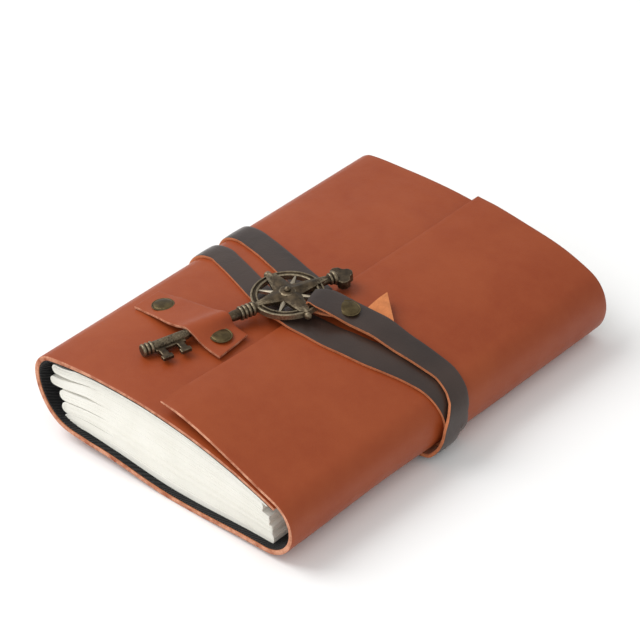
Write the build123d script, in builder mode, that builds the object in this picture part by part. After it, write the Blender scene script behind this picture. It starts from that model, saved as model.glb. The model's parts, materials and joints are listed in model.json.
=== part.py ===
from build123d import *
import math
import os

import numpy as np

# A soft leather diary, closed and tied. X runs from the spine to the fore edge, Y along the spine,
# Z up from the table. The origin is on the table, under the middle of the leather.

# Cover, in millimetres
LENGTH = 178.0            # leather along the spine
WIDTH = 124.0             # leather from the spine fold to the fore-edge fold
FLAP_TOP = 39.6           # height of the flap's outer face, carried on to the top of the crown
CROWN_INSET = 42.5        # from the spine fold to where the crowned top is highest
NOSE_RADIUS = 13.0        # outside radius of the fore-edge fold
SPINE_RADIUS = 10.0       # outside radius of the upper spine fold
BELLY_SPAN = 28.0         # width over which the underside rises to the spine
LEATHER = 2.4             # thickness of the hide
LINING = 0.6              # thickness of the cloth inside
LAYER_GAP = 0.3           # room between leather layers that slide on each other
FLAP_REACH = 63.0         # from the fore-edge fold to the flap's free edge
COVER_MARGIN = 10.0       # from the fore-edge fold to the front cover's free edge, inside the flap
LINING_INSET = 1.0        # the lining stops this far short of the hide's ends

# Pages
SIGNATURES = 5            # folded sections of paper
PAGE_LENGTH = 169.0       # paper along the spine
PAGE_MARGIN = 10.0        # from the fore-edge fold to the edge of the lowest section
PAGE_STAGGER = 1.0        # each section's fore edge lies this far inside the one below
PAGE_ROOM = 0.8           # room between the top page and the lining
LEAF_GAP = 0.3            # room between sections
FOLD_RADIUS = 1.3         # rounded back of each section
FOLD_CLEARANCE = 1.0      # from the back of a section to the spine lining
FOLD_TAPER = 20.0         # a section reaches its full thickness this far from its fold
THREAD = 0.9              # diameter of the sewing thread
THREAD_FIT = 0.08         # radial room round the thread in the fold
THREAD_INSET = 9.5        # from a page's end to the first sewing hole

# Key keeper, a strip riveted across the front cover
KEEPER_LENGTH = 45.6
KEEPER_WIDTH = 15.5
KEEPER_THICKNESS = 1.1
KEEPER_BESIDE_FLAP = 3.4  # from the strip's second end to the flap's free edge
KEEPER_Y = -42.5
KEEPER_RIVET_INSET = (7.2, 5.8)   # from each end of the strip to its rivet
KEEPER_SEAT = 0.15        # room under the strip's flat ends, over the crowned leather
ARCH_ROOM = 0.3           # room round the key's shaft
ARCH_LEAN = 0.1           # the arch's steep side leans out by this much

# Rivets
RIVET_CAP = 8.2           # diameter of the visible cap
RIVET_CAP_HEIGHT = 1.3
RIVET_CAP_EDGE = 0.6      # rounding of the cap
RIVET_POST = 3.0
RIVET_BACK = 7.6          # diameter of the cap inside
RIVET_FIT = 0.06          # radial room round a post
RIVET_SEAT = 0.1          # room under a cap
ANCHOR_CAP_HEIGHT = 0.8   # the flat rivet that holds the strap's first end
ANCHOR_INSET = 8.0        # from the flap's edge to that rivet
ANCHOR_Y = 2.0

# Strap
STRAP_WIDTH = 12.5
STRAP_THICKNESS = 1.5
STRAP_SEAT = 0.15         # room between the strap and what it lies on
PLY_GAP = 0.6             # room between two plies of the strap
TABLE_ROOM = 0.1          # the strap is pressed into the back cover, this far above the table
BED_ROOM = 0.2            # room round the strap in its bed
BED_LEAD = 1.0            # how far the bed's ends are led out of the hide
TAIL_LIFT = 0.8           # the folded end lies this far above the flap, on its rivet's inner cap
LOOP_WIDTH = 8.6          # the strap's end, drawn together where it goes through the wheel
LOOP_ROOM = 0.3           # room between the loop and the wheel's rim
LOOP_BEND = 0.3           # inside radius of the loop's two bends
CROWN_STEP = 8.0          # longest straight stretch of strap on the crowned top
FOLD_STEP = 11.0          # largest turn of the strap between two stations, in degrees
STRAP_RIVET_REACH = 23.8  # from the wheel's middle to the rivet that closes the loop, across the book
STRAP_RIVET_ALONG = 10.0  # and along the spine

# Key
KEY_TURN = 18.5           # the key's axis, from the spine direction towards the fore edge, in degrees
KEY_TILT = 2.0            # rise of the key from its bit to its wheel, in degrees
WHEEL_BEYOND_FLAP = 7.3   # from the flap's free edge to the middle of the compass wheel
WHEEL_Y = -13.1
WHEEL_ROOM = 0.9          # room under the middle of the wheel, over the strap at the flap's edge
WHEEL_RADIUS = 13.6
WHEEL_THICKNESS = 3.0
RIM_WIDTH = 3.0           # both rings together
RING_WIDTH = 1.1          # one raised ring
WEB_THICKNESS = 1.4       # the floor between the two rings
SHAFT_RADIUS = 1.7
KEY_TIP = 60.0            # from the middle of the wheel to the end of the bit
COLLARS = (14.6, 17.2, 19.8)      # collars on the shaft, from the middle of the wheel
COLLAR_RADIUS = 3.1
COLLAR_WIDTH = 1.8
TIP_COLLARS = (57.0, 59.2)        # rings at the end of the shaft
TIP_COLLAR_RADIUS = 2.3
TIP_COLLAR_WIDTH = 1.4
BIT_THICKNESS = 2.4
BIT_PLATE = (42.8, 55.6)          # the plate under the teeth, from the middle of the wheel
BIT_PLATE_REACH = 3.6             # how far the plate stands out from the axis
TEETH = (45.2, 53.3)              # middle of each tooth
TOOTH_WIDTH = 3.0
TOOTH_REACH = 8.4
TOOTH_HEAD = 2.2                  # length of the wider end of a tooth
TOOTH_HEAD_WIDTH = 4.6
BOW_STEM = 20.0           # from the middle of the wheel to the bow's collar
BOW_STEM_RADIUS = 1.6
BOW_COLLAR_RADIUS = 2.6
BOW_COLLAR_WIDTH = 2.4
BOW_LOBE = 2.6            # radius of each lobe of the bow
BOW_SINK = 0.8            # how far the bow's first lobe stands in its collar
BOW_THICKNESS = 3.0
KNOB_RADIUS = 1.5         # the small knobs outside the wheel
KNOB_SINK = 0.4           # how far a knob stands in the rim
ROSE_THICKNESS = 2.2
ROSE_FIT = 0.1            # from the broad points to the rim
ROSE_WAIST = 3.6          # radius of the notch between the broad points
RAY_REACH = 7.2           # the four thin rays
RAY_WAIST = 1.7
BOSS_RADIUS = 3.2
BOSS_HEIGHT = 0.9
BOSS_BALL = 1.2
BOSS_POST = 1.5
BOSS_FIT = 0.05

# Outline of the closed diary across the spine, all arcs tangent to each other
half_width = WIDTH / 2
crown_x = -half_width + CROWN_INSET
nose_x = half_width - NOSE_RADIUS
nose_z = NOSE_RADIUS
spine_x = -half_width + SPINE_RADIUS
crown_rise = FLAP_TOP - 2 * NOSE_RADIUS
crown_reach = nose_x - crown_x
crown_z = nose_z - (crown_reach**2 - crown_rise**2) / (2 * crown_rise)
flap_crown = FLAP_TOP - crown_z
cover_crown = flap_crown - LEATHER - LAYER_GAP
spine_z = crown_z + math.sqrt((cover_crown - SPINE_RADIUS) ** 2 - (spine_x - crown_x) ** 2)
nose_angle = math.degrees(math.atan2(nose_z - crown_z, nose_x - crown_x))
spine_angle = math.degrees(math.atan2(spine_z - crown_z, spine_x - crown_x))
belly_x = -half_width + BELLY_SPAN
flap_edge_x = half_width - FLAP_REACH
cover_edge_x = half_width - COVER_MARGIN
lining_depth = LEATHER + LINING
page_floor = lining_depth + LEAF_GAP
page_crown = cover_crown - lining_depth - PAGE_ROOM


def crown_height(x, radius):
    """Height of the crowned top at x, on an arc of this radius."""
    return crown_z + math.sqrt(radius**2 - (x - crown_x) ** 2)


def crown_arc(radius, low_x, high_angle):
    """Draw the crowned top from the cut at low_x round to an angle."""
    start = math.degrees(math.acos((low_x - crown_x) / radius))
    CenterArc((crown_x, crown_z), radius, start, high_angle - start)


def crown_plane(x, y, radius):
    """Plane that touches the crowned top, with its normal outwards."""
    z = crown_height(x, radius)
    return Plane(origin=(x, y, z), x_dir=(0, 1, 0), z_dir=(x - crown_x, 0, z - crown_z))


def front_outline(outer, inner, end_x):
    """Draw a layer of the front cover, between two depths below its outer face."""
    for depth in (outer, inner):
        CenterArc((spine_x, spine_z), SPINE_RADIUS - depth, spine_angle, 180 - spine_angle)
        crown_arc(cover_crown - depth, end_x, spine_angle)
    Line((-half_width + outer, spine_z), (-half_width + inner, spine_z))
    Line(
        (end_x, crown_height(end_x, cover_crown - outer)),
        (end_x, crown_height(end_x, cover_crown - inner)),
    )


def belly_outline(depth, end_x):
    """Draw the spine's lower curve and the flat underside, at this depth in the hide."""
    EllipticalCenterArc((belly_x, spine_z), BELLY_SPAN - depth, spine_z - depth, 180, arc_size=90)
    Line((belly_x, depth), (end_x, depth))


def leaf_height(share, x):
    """Height at x of the surface that has this share of the pages under it."""
    return page_floor + share * (crown_height(x, page_crown) - page_floor)


def fold_place(index):
    """Middle of a section's rounded back, inside the spine's curve."""
    height = leaf_height((index + 0.5) / SIGNATURES, spine_x)
    depth = lining_depth + FOLD_CLEARANCE + FOLD_RADIUS
    if height < spine_z:
        drop = (spine_z - height) / (spine_z - depth)
        return belly_x - (BELLY_SPAN - depth) * math.sqrt(1 - drop**2), height
    return spine_x - math.sqrt((SPINE_RADIUS - depth) ** 2 - (height - spine_z) ** 2), height


# Key frame: x along the key towards its bow, y towards the spine, z up through the wheel
key_turn = math.radians(KEY_TURN)
key_tilt = math.radians(KEY_TILT)
key_axis = (
    math.sin(key_turn) * math.cos(key_tilt),
    math.cos(key_turn) * math.cos(key_tilt),
    math.sin(key_tilt),
)
key_side = (-math.cos(key_turn), math.sin(key_turn), 0)
flap_step = crown_height(flap_edge_x, flap_crown) + STRAP_SEAT + STRAP_THICKNESS
wheel_x = flap_edge_x - WHEEL_BEYOND_FLAP
wheel_z = flap_step + WHEEL_ROOM + WHEEL_THICKNESS / 2
wheel_middle = (wheel_x, WHEEL_Y, wheel_z)
key_plane = Plane(origin=wheel_middle, x_dir=key_axis, z_dir=tuple(np.cross(key_axis, key_side)))
rim_inside = WHEEL_RADIUS - RIM_WIDTH

# The strap's second end goes through the wheel halfway between the bow and the fore edge
loop_turn = math.radians(90 - KEY_TURN - 45)
loop_z = wheel_z + (WHEEL_RADIUS - RIM_WIDTH / 2) * math.cos(math.pi / 4) * math.sin(key_tilt)
loop_reach = math.sqrt(rim_inside**2 - (LOOP_WIDTH / 2) ** 2) - LOOP_ROOM
loop_rise = WHEEL_THICKNESS / 2 + LOOP_ROOM - LOOP_BEND


# Strap stations: a middle point, the direction out of the grain side, and the width there
def over_crown(x, y, lift, width=STRAP_WIDTH, radius=flap_crown):
    """Strap lying over the flap, with its inner face raised by lift."""
    angle = math.acos((x - crown_x) / radius)
    out = (math.cos(angle), 0, math.sin(angle))
    reach = radius + lift + STRAP_THICKNESS / 2
    return (crown_x + reach * out[0], y, crown_z + reach * out[2]), out, width


def over_cover(x, y):
    """Strap lying on the front cover."""
    return over_crown(x, y, STRAP_SEAT, radius=cover_crown)


def over_tail(x, y, width):
    """The folded end, which lies with its grain side down."""
    middle, out, width = over_crown(x, y, TAIL_LIFT, width)
    return middle, tuple(-value for value in out), width


def on_curve(point, out, y, lift):
    """Strap bent round the cover, pressed into the hide where the table would touch it."""
    if out[1] < 0:
        lift = min(lift, (point[1] - TABLE_ROOM) / -out[1] - STRAP_THICKNESS)
    reach = lift + STRAP_THICKNESS / 2
    return (point[0] + reach * out[0], y, point[1] + reach * out[1]), (out[0], 0, out[1]), STRAP_WIDTH


def over_spine(angle, y):
    out = (math.cos(math.radians(angle)), math.sin(math.radians(angle)))
    return on_curve((spine_x + SPINE_RADIUS * out[0], spine_z + SPINE_RADIUS * out[1]), out, y, STRAP_SEAT)


def over_nose(angle, y, lift):
    out = (math.cos(math.radians(angle)), math.sin(math.radians(angle)))
    return on_curve((nose_x + NOSE_RADIUS * out[0], nose_z + NOSE_RADIUS * out[1]), out, y, lift)


def over_belly(angle, y):
    turn = math.radians(angle)
    point = (belly_x + BELLY_SPAN * math.cos(turn), spine_z + spine_z * math.sin(turn))
    slope = (math.cos(turn) / BELLY_SPAN, math.sin(turn) / spine_z)
    size = math.hypot(*slope)
    return on_curve(point, (slope[0] / size, slope[1] / size), y, STRAP_SEAT)


def round_rim(reach, rise, angle):
    """Strap bent round the wheel's rim, at this reach from the wheel's middle and this height."""
    flat = math.cos(math.radians(angle))
    across = reach + (LOOP_BEND + STRAP_THICKNESS / 2) * flat
    height = rise + (LOOP_BEND + STRAP_THICKNESS / 2) * math.sin(math.radians(angle))
    middle = (
        wheel_x + across * math.cos(loop_turn),
        WHEEL_Y + across * math.sin(loop_turn),
        loop_z + height,
    )
    out = (flat * math.cos(loop_turn), flat * math.sin(loop_turn), math.sin(math.radians(angle)))
    return middle, out, LOOP_WIDTH


def between(stops, step):
    """Stops with more of them put in, so that the first value never changes by more than a step."""
    filled = [stops[0]]
    for first, second in zip(stops, stops[1:]):
        count = math.ceil(abs(second[0] - first[0]) / step)
        for place in range(1, count + 1):
            share = place / count
            filled.append(tuple(a + (b - a) * share for a, b in zip(first, second)))
    return filled


def spine_turn(top_y, bottom_y):
    """Strap down the spine and round under it."""
    middle_y = (top_y + bottom_y) / 2
    upper = between([(spine_angle, top_y), (180, middle_y)], FOLD_STEP)
    lower = between([(180, middle_y), (270, bottom_y)], FOLD_STEP)
    return [over_spine(*stop) for stop in upper] + [over_belly(*stop) for stop in lower[1:]]


strap_rivet_x = wheel_x + STRAP_RIVET_REACH
strap_rivet_y = WHEEL_Y + STRAP_RIVET_ALONG
second_ply = STRAP_SEAT + STRAP_THICKNESS + PLY_GAP
third_ply = TAIL_LIFT + STRAP_THICKNESS + PLY_GAP

# First turn: from its rivet by the flap's edge, round the spine, under the book, up and over the flap
first_cover = [over_cover(*stop) for stop in between(
    [(flap_edge_x - 3.0, 0.9), (-20.0, 4.5), (-37.0, 9.3), (spine_x + 2.0, 12.8)], CROWN_STEP)]
first_spine = spine_turn(13.0, 15.0)
first_nose = [over_nose(*stop, STRAP_SEAT) for stop in between(
    [(-90, -0.4), (-56, -0.3), (0, -1.4), (30, -2.2), (nose_angle, -3.4)], FOLD_STEP)]
first_flap = [over_crown(*stop, STRAP_SEAT) for stop in between(
    [(46.0, -5.6), (30.0, -13.6), (16.0, -18.2), (flap_edge_x + 3.0, -20.2),
     (flap_edge_x - 2.0, -19.8)], CROWN_STEP)]
# Second turn: down the step at the flap's edge, round the spine again, then up over the first turn
second_cover = [over_cover(*stop) for stop in between(
    [(flap_edge_x - 7.0, -17.6), (-22.0, -13.6), (-40.0, -7.4), (spine_x + 2.0, -3.6)], CROWN_STEP)]
second_spine = spine_turn(-3.4, -4.4)
second_nose = [over_nose(*stop) for stop in between(
    [
        (-90, -14.6, STRAP_SEAT),
        (-56, -14.2, STRAP_SEAT),
        (-42, -13.0, second_ply),
        (0, -9.0, second_ply),
        (24, -3.6, second_ply),
        (nose_angle, 3.6, second_ply),
    ], FOLD_STEP)]
second_flap = [over_crown(*stop) for stop in between(
    [
        (46.0, 3.4, second_ply),
        (strap_rivet_x + 18.5, strap_rivet_y + 4.1, second_ply),
        (strap_rivet_x + 9.5, strap_rivet_y + 2.3, third_ply),
        (strap_rivet_x, strap_rivet_y, third_ply),
        (strap_rivet_x - 4.6, strap_rivet_y - 2.0, third_ply),
    ], CROWN_STEP)]
# The end rises over the rim, goes down through the wheel and comes back under itself
rim_loop = [
    round_rim(WHEEL_RADIUS, loop_rise, 90),
    *(round_rim(loop_reach + LOOP_BEND, loop_rise, angle) for angle in (90, 135, 180)),
    *(round_rim(loop_reach + LOOP_BEND, -loop_rise, angle) for angle in (180, 225, 270)),
    over_tail(strap_rivet_x - 6.3, strap_rivet_y - 1.1, 10.0),
    over_tail(strap_rivet_x - 1.0, strap_rivet_y + 2.7, STRAP_WIDTH),
    over_tail(strap_rivet_x + 5.3, strap_rivet_y + 12.7, STRAP_WIDTH),
]
strap_stations = [
    *first_cover,
    *first_spine,
    *first_nose,
    *first_flap,
    *second_cover,
    *second_spine,
    *second_nose,
    *second_flap,
    *rim_loop,
]


def strap_frames(stations):
    """Middle, width direction, outward direction and width of each station, square to the route."""
    middles = np.array([station[0] for station in stations])
    ahead = np.vstack([middles[1:], middles[-1:]])
    behind = np.vstack([middles[:1], middles[:-1]])
    for (middle, out, width), run in zip(stations, ahead - behind):
        across = np.cross(run, out)
        yield np.array(middle), across / np.linalg.norm(across), np.array(out), width


def strap_bed(spine, nose):
    """Room for the strap where it is pressed into the hide, led out of the hide at both ends."""
    pressed = [*spine[-5:], *nose[:6]]
    for end in (0, -1):
        middle, out, width = pressed[end]
        pressed[end] = (tuple(m + BED_LEAD * o for m, o in zip(middle, out)), out, width)
    return strap_solid(pressed, BED_ROOM)


def strap_solid(stations, grow=0.0):
    """Loft the strap through its stations, each face moved out by a clearance."""
    with BuildPart() as band:
        for middle, across, out, width in strap_frames(stations):
            plane = Plane(origin=tuple(middle), x_dir=tuple(across), z_dir=tuple(np.cross(across, out)))
            with BuildSketch(plane):
                Rectangle(width + 2 * grow, STRAP_THICKNESS + 2 * grow)
        loft(ruled=True)
    return band.part


def strap_self_gap(stations, apart=40.0):
    """Length of the strap, and the least room between stretches of it that are far apart along it."""
    faces = []
    travel = []
    run = 0.0
    frames = list(strap_frames(stations))
    for first, second in zip(frames, frames[1:]):
        span = np.linalg.norm(second[0] - first[0])
        for share in np.arange(0, 1, 1 / math.ceil(span / 1.5)):
            middle, across, out, width = (a + (b - a) * share for a, b in zip(first, second))
            for side in np.linspace(-width / 2, width / 2, 13):
                for face in (-STRAP_THICKNESS / 2, STRAP_THICKNESS / 2):
                    faces.append(middle + across * side + out * face)
                    travel.append(run + span * share)
        run += span
    faces = np.array(faces)
    travel = np.array(travel)
    gaps = [
        np.linalg.norm(faces[np.abs(travel - place) > apart] - point, axis=1).min(initial=math.inf)
        for point, place in zip(faces, travel)
    ]
    return run, min(gaps)


def round_bar(plane, start, end, radius):
    """Add a cylinder along the plane's normal, between two distances from the plane."""
    with Locations(plane.offset(start)):
        Cylinder(radius, end - start, align=(Align.CENTER, Align.CENTER, Align.MIN))


def rivet_cap(plane, seat, diameter, height):
    """Add a low round cap with a rounded edge, raised by seat from the plane."""
    round_bar(plane, seat, seat + height, diameter / 2)
    top = plane.offset(seat + height).origin
    fillet(edges().filter_by(GeomType.CIRCLE).sort_by_distance(top)[0], RIVET_CAP_EDGE)


def rivet_post(plane, bottom, back_top, top):
    """Add a rivet's post and the flat cap on its inner end."""
    round_bar(plane, bottom, back_top, RIVET_BACK / 2)
    round_bar(plane, bottom, top, RIVET_POST / 2)


def save(part, name):
    part.label = name
    export_step(part, f"parts/{name}.step")


os.makedirs("parts", exist_ok=True)

# Back cover: flat underside, curve up to the spine, lower half of the fore-edge fold. The strap has
# pressed its bed into the underside.
strap_beds = [strap_bed(first_spine, first_nose), strap_bed(second_spine, second_nose)]
with BuildPart() as back_cover:
    with BuildSketch(Plane.XZ):
        with BuildLine():
            for depth in (0, LEATHER):
                belly_outline(depth, nose_x)
                CenterArc((nose_x, nose_z), NOSE_RADIUS - depth, -90, 90)
            Line((-half_width, spine_z), (-half_width + LEATHER, spine_z))
            Line((half_width - LEATHER, nose_z), (half_width, nose_z))
        make_face()
    extrude(amount=LENGTH / 2, both=True)
    add(strap_beds, mode=Mode.SUBTRACT)
save(back_cover.part, "back_cover")

with BuildPart() as back_lining:
    with BuildSketch(Plane.XZ):
        with BuildLine():
            for depth in (LEATHER, lining_depth):
                belly_outline(depth, nose_x - LINING_INSET)
            Line((-half_width + LEATHER, spine_z), (-half_width + lining_depth, spine_z))
            Line((nose_x - LINING_INSET, LEATHER), (nose_x - LINING_INSET, lining_depth))
        make_face()
    extrude(amount=LENGTH / 2 - LINING_INSET, both=True)
save(back_lining.part, "back_lining")

# Rivets through the front cover stand square to its crown
keeper_high = flap_edge_x - KEEPER_BESIDE_FLAP
keeper_low = keeper_high - KEEPER_LENGTH
keeper_rivets = [
    crown_plane(keeper_low + KEEPER_RIVET_INSET[0], KEEPER_Y, cover_crown),
    crown_plane(keeper_high - KEEPER_RIVET_INSET[1], KEEPER_Y, cover_crown),
]
anchor_rivet = crown_plane(flap_edge_x - ANCHOR_INSET, ANCHOR_Y, cover_crown)
post_hole = RIVET_POST / 2 + RIVET_FIT

# Front cover: upper spine fold and the crowned top
with BuildPart() as front_cover:
    with BuildSketch(Plane.XZ):
        with BuildLine():
            front_outline(0, LEATHER, cover_edge_x)
        make_face()
    extrude(amount=LENGTH / 2, both=True)
    with Locations(*keeper_rivets, anchor_rivet):
        Hole(post_hole, depth=2 * LEATHER)
save(front_cover.part, "front_cover")

with BuildPart() as front_lining:
    with BuildSketch(Plane.XZ):
        with BuildLine():
            front_outline(LEATHER, lining_depth, cover_edge_x - LINING_INSET)
        make_face()
    extrude(amount=LENGTH / 2 - LINING_INSET, both=True)
    with Locations(*keeper_rivets, anchor_rivet):
        Hole(RIVET_BACK / 2 + RIVET_FIT, depth=2 * lining_depth)
save(front_lining.part, "front_lining")

# Flap: upper half of the fore-edge fold and the hide lying over the front cover
with BuildPart() as flap:
    with BuildSketch(Plane.XZ):
        with BuildLine():
            for depth in (0, LEATHER):
                CenterArc((nose_x, nose_z), NOSE_RADIUS - depth, 0, nose_angle)
                free_end = math.degrees(math.acos((flap_edge_x - crown_x) / (flap_crown - depth)))
                CenterArc((crown_x, crown_z), flap_crown - depth, nose_angle, free_end - nose_angle)
            Line((half_width - LEATHER, nose_z), (half_width, nose_z))
            Line(
                (flap_edge_x, crown_height(flap_edge_x, flap_crown)),
                (flap_edge_x, crown_height(flap_edge_x, flap_crown - LEATHER)),
            )
        make_face()
    extrude(amount=LENGTH / 2, both=True)
save(flap.part, "flap")

# Sections of folded paper, with a bore along each fold for the thread
fold_places = [fold_place(index) for index in range(SIGNATURES)]
for index, (fold_x, fold_z) in enumerate(fold_places):
    full_x = fold_x + FOLD_TAPER
    edge_x = half_width - PAGE_MARGIN - index * PAGE_STAGGER
    places = (full_x, (full_x + edge_x) / 2, edge_x)
    lower = [(x, leaf_height(index / SIGNATURES, x) + LEAF_GAP / 2) for x in places]
    upper = [(x, leaf_height((index + 1) / SIGNATURES, x) - LEAF_GAP / 2) for x in places]
    with BuildPart() as signature:
        with BuildSketch(Plane.XZ):
            with BuildLine():
                CenterArc((fold_x, fold_z), FOLD_RADIUS, 90, 180)
                Line((fold_x, fold_z - FOLD_RADIUS), lower[0])
                if index:
                    ThreePointArc(*lower)
                else:
                    Line(lower[0], lower[-1])
                Line(lower[-1], upper[-1])
                ThreePointArc(*upper)
                Line(upper[0], (fold_x, fold_z + FOLD_RADIUS))
            make_face()
            with Locations((fold_x, fold_z)):
                Circle(THREAD / 2 + THREAD_FIT, mode=Mode.SUBTRACT)
        extrude(amount=PAGE_LENGTH / 2, both=True)
    save(signature.part, f"signature_{index + 1}")

with BuildPart() as sewing_threads:
    with BuildSketch(Plane.XZ):
        with Locations(*fold_places):
            Circle(THREAD / 2)
    extrude(amount=PAGE_LENGTH / 2 - THREAD_INSET, both=True)
save(sewing_threads.part, "sewing_threads")

# Key keeper: a strip that lies flat round its rivets and arches over the key's slanting shaft
shaft_half = SHAFT_RADIUS / math.cos(key_turn) + ARCH_ROOM
pad_edge = RIVET_CAP / 2 + 2 * RIVET_SEAT
first_rivet_x = keeper_rivets[0].origin.X
second_rivet_x = keeper_rivets[1].origin.X


def keeper_seat(x):
    return x, crown_height(x, cover_crown) + KEEPER_SEAT


with BuildPart() as key_keeper:
    for y in (KEEPER_Y - KEEPER_WIDTH / 2, KEEPER_Y + KEEPER_WIDTH / 2):
        shaft_run = (y - WHEEL_Y) / key_axis[1]
        shaft_x = wheel_x + shaft_run * key_axis[0]
        arch_z = wheel_z + shaft_run * key_axis[2] + SHAFT_RADIUS + ARCH_ROOM
        with BuildSketch(Plane.XZ.offset(-y)):
            with BuildLine():
                Polyline(
                    keeper_seat(keeper_low),
                    keeper_seat(first_rivet_x),
                    keeper_seat(first_rivet_x + pad_edge),
                    (shaft_x - shaft_half, arch_z),
                    (shaft_x + shaft_half, arch_z),
                    keeper_seat(shaft_x + shaft_half + ARCH_LEAN),
                    keeper_seat(second_rivet_x),
                    keeper_seat(keeper_high),
                )
                offset(amount=KEEPER_THICKNESS, side=Side.LEFT, kind=Kind.INTERSECTION)
            make_face()
    loft(ruled=True)
    with Locations(*keeper_rivets):
        Hole(post_hole, depth=2 * LEATHER)
save(key_keeper.part, "key_keeper")

keeper_cap_seat = KEEPER_SEAT + KEEPER_THICKNESS + RIVET_SEAT
with BuildPart() as keeper_rivet_caps:
    for plane in keeper_rivets:
        rivet_cap(plane, keeper_cap_seat, RIVET_CAP, RIVET_CAP_HEIGHT)
save(keeper_rivet_caps.part, "keeper_rivet_caps")

with BuildPart() as keeper_rivet_posts:
    for plane in keeper_rivets:
        rivet_post(plane, -lining_depth, -LEATHER - RIVET_SEAT, keeper_cap_seat)
save(keeper_rivet_posts.part, "keeper_rivet_posts")

# Strap, wound twice round the closed book, with the rivets at its two ends
strap_rivet = crown_plane(strap_rivet_x, strap_rivet_y, flap_crown)
strap = strap_solid(strap_stations)
with BuildPart() as wrap_strap:
    add(strap)
    with Locations(strap_rivet.offset(third_ply + STRAP_THICKNESS), anchor_rivet.offset(2 * STRAP_THICKNESS)):
        Hole(post_hole, depth=third_ply + STRAP_THICKNESS)
save(wrap_strap.part, "wrap_strap")
strap_length, strap_gap = strap_self_gap(strap_stations)
print(f"strap length {strap_length:.0f} mm, least gap to itself {strap_gap:.2f} mm")

strap_cap_seat = third_ply + STRAP_THICKNESS + RIVET_SEAT
with BuildPart() as strap_rivet_cap:
    rivet_cap(strap_rivet, strap_cap_seat, RIVET_CAP, RIVET_CAP_HEIGHT)
save(strap_rivet_cap.part, "strap_rivet_cap")

with BuildPart() as strap_rivet_post:
    rivet_post(strap_rivet, RIVET_SEAT, TAIL_LIFT - RIVET_SEAT, strap_cap_seat)
save(strap_rivet_post.part, "strap_rivet_post")

anchor_cap_seat = STRAP_SEAT + STRAP_THICKNESS + RIVET_SEAT
with BuildPart() as strap_anchor_rivet:
    rivet_cap(anchor_rivet, anchor_cap_seat, RIVET_BACK, ANCHOR_CAP_HEIGHT)
    rivet_post(anchor_rivet, -lining_depth, -LEATHER - RIVET_SEAT, anchor_cap_seat)
save(strap_anchor_rivet.part, "strap_anchor_rivet")


# Key: shaft with collars, bit, double-ringed wheel and trefoil bow in one casting
rim_middle = WHEEL_RADIUS - RIM_WIDTH / 2
along_key = Plane(origin=wheel_middle, z_dir=key_axis)
with BuildPart() as key_casting:
    round_bar(along_key, -KEY_TIP, -rim_middle, SHAFT_RADIUS)
    for places, width, radius in (
        (COLLARS, COLLAR_WIDTH, COLLAR_RADIUS),
        (TIP_COLLARS, TIP_COLLAR_WIDTH, TIP_COLLAR_RADIUS),
    ):
        for place in places:
            round_bar(along_key, -place - width / 2, -place + width / 2, radius)
    with BuildSketch(key_plane):
        with Locations((-sum(BIT_PLATE) / 2, 0)):
            Rectangle(BIT_PLATE[1] - BIT_PLATE[0], BIT_PLATE_REACH, align=(Align.CENTER, Align.MAX))
        with Locations(*((-place, 0) for place in TEETH)):
            Rectangle(TOOTH_WIDTH, TOOTH_REACH, align=(Align.CENTER, Align.MAX))
        with Locations(*((-place, TOOTH_HEAD - TOOTH_REACH) for place in TEETH)):
            Rectangle(TOOTH_HEAD_WIDTH, TOOTH_HEAD, align=(Align.CENTER, Align.MAX))
    extrude(amount=BIT_THICKNESS / 2, both=True)
    with BuildSketch(key_plane):
        for outer in (WHEEL_RADIUS, rim_inside + RING_WIDTH):
            Circle(outer)
            Circle(outer - RING_WIDTH, mode=Mode.SUBTRACT)
    extrude(amount=WHEEL_THICKNESS / 2, both=True)
    with BuildSketch(key_plane):
        Circle(WHEEL_RADIUS - RING_WIDTH / 2)
        Circle(rim_inside + RING_WIDTH / 2, mode=Mode.SUBTRACT)
    extrude(amount=WEB_THICKNESS / 2, both=True)
    with Locations(*(key_plane * Pos(0, side * (WHEEL_RADIUS + KNOB_RADIUS - KNOB_SINK), 0) for side in (1, -1))):
        Sphere(KNOB_RADIUS)
    round_bar(along_key, rim_middle, BOW_STEM + BOW_COLLAR_WIDTH, BOW_STEM_RADIUS)
    round_bar(along_key, BOW_STEM, BOW_STEM + BOW_COLLAR_WIDTH, BOW_COLLAR_RADIUS)
    bow_middle = BOW_STEM + BOW_COLLAR_WIDTH + BOW_LOBE - BOW_SINK
    with BuildSketch(key_plane):
        with Locations((bow_middle + BOW_LOBE, 0), (bow_middle, BOW_LOBE), (bow_middle, -BOW_LOBE)):
            Circle(BOW_LOBE)
        with Locations((bow_middle, 0)):
            Circle(BOW_LOBE)
    extrude(amount=BOW_THICKNESS / 2, both=True)
save(key_casting.part, "key_casting")


def star_points(reach, waist, first_angle):
    """Outline of a four-pointed star in the wheel's plane."""
    angles = [math.radians(first_angle + 45 * step) for step in range(8)]
    radii = [reach, waist] * 4
    return [(radius * math.cos(angle), radius * math.sin(angle)) for radius, angle in zip(radii, angles)]


with BuildPart() as compass_rose:
    with BuildSketch(key_plane):
        with BuildLine():
            Polyline(*star_points(rim_inside - ROSE_FIT, ROSE_WAIST, 0), close=True)
        make_face()
        with BuildLine():
            Polyline(*star_points(RAY_REACH, RAY_WAIST, 45), close=True)
        make_face()
        Circle(BOSS_POST / 2 + BOSS_FIT, mode=Mode.SUBTRACT)
    extrude(amount=ROSE_THICKNESS / 2, both=True)
save(compass_rose.part, "compass_rose")

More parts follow.
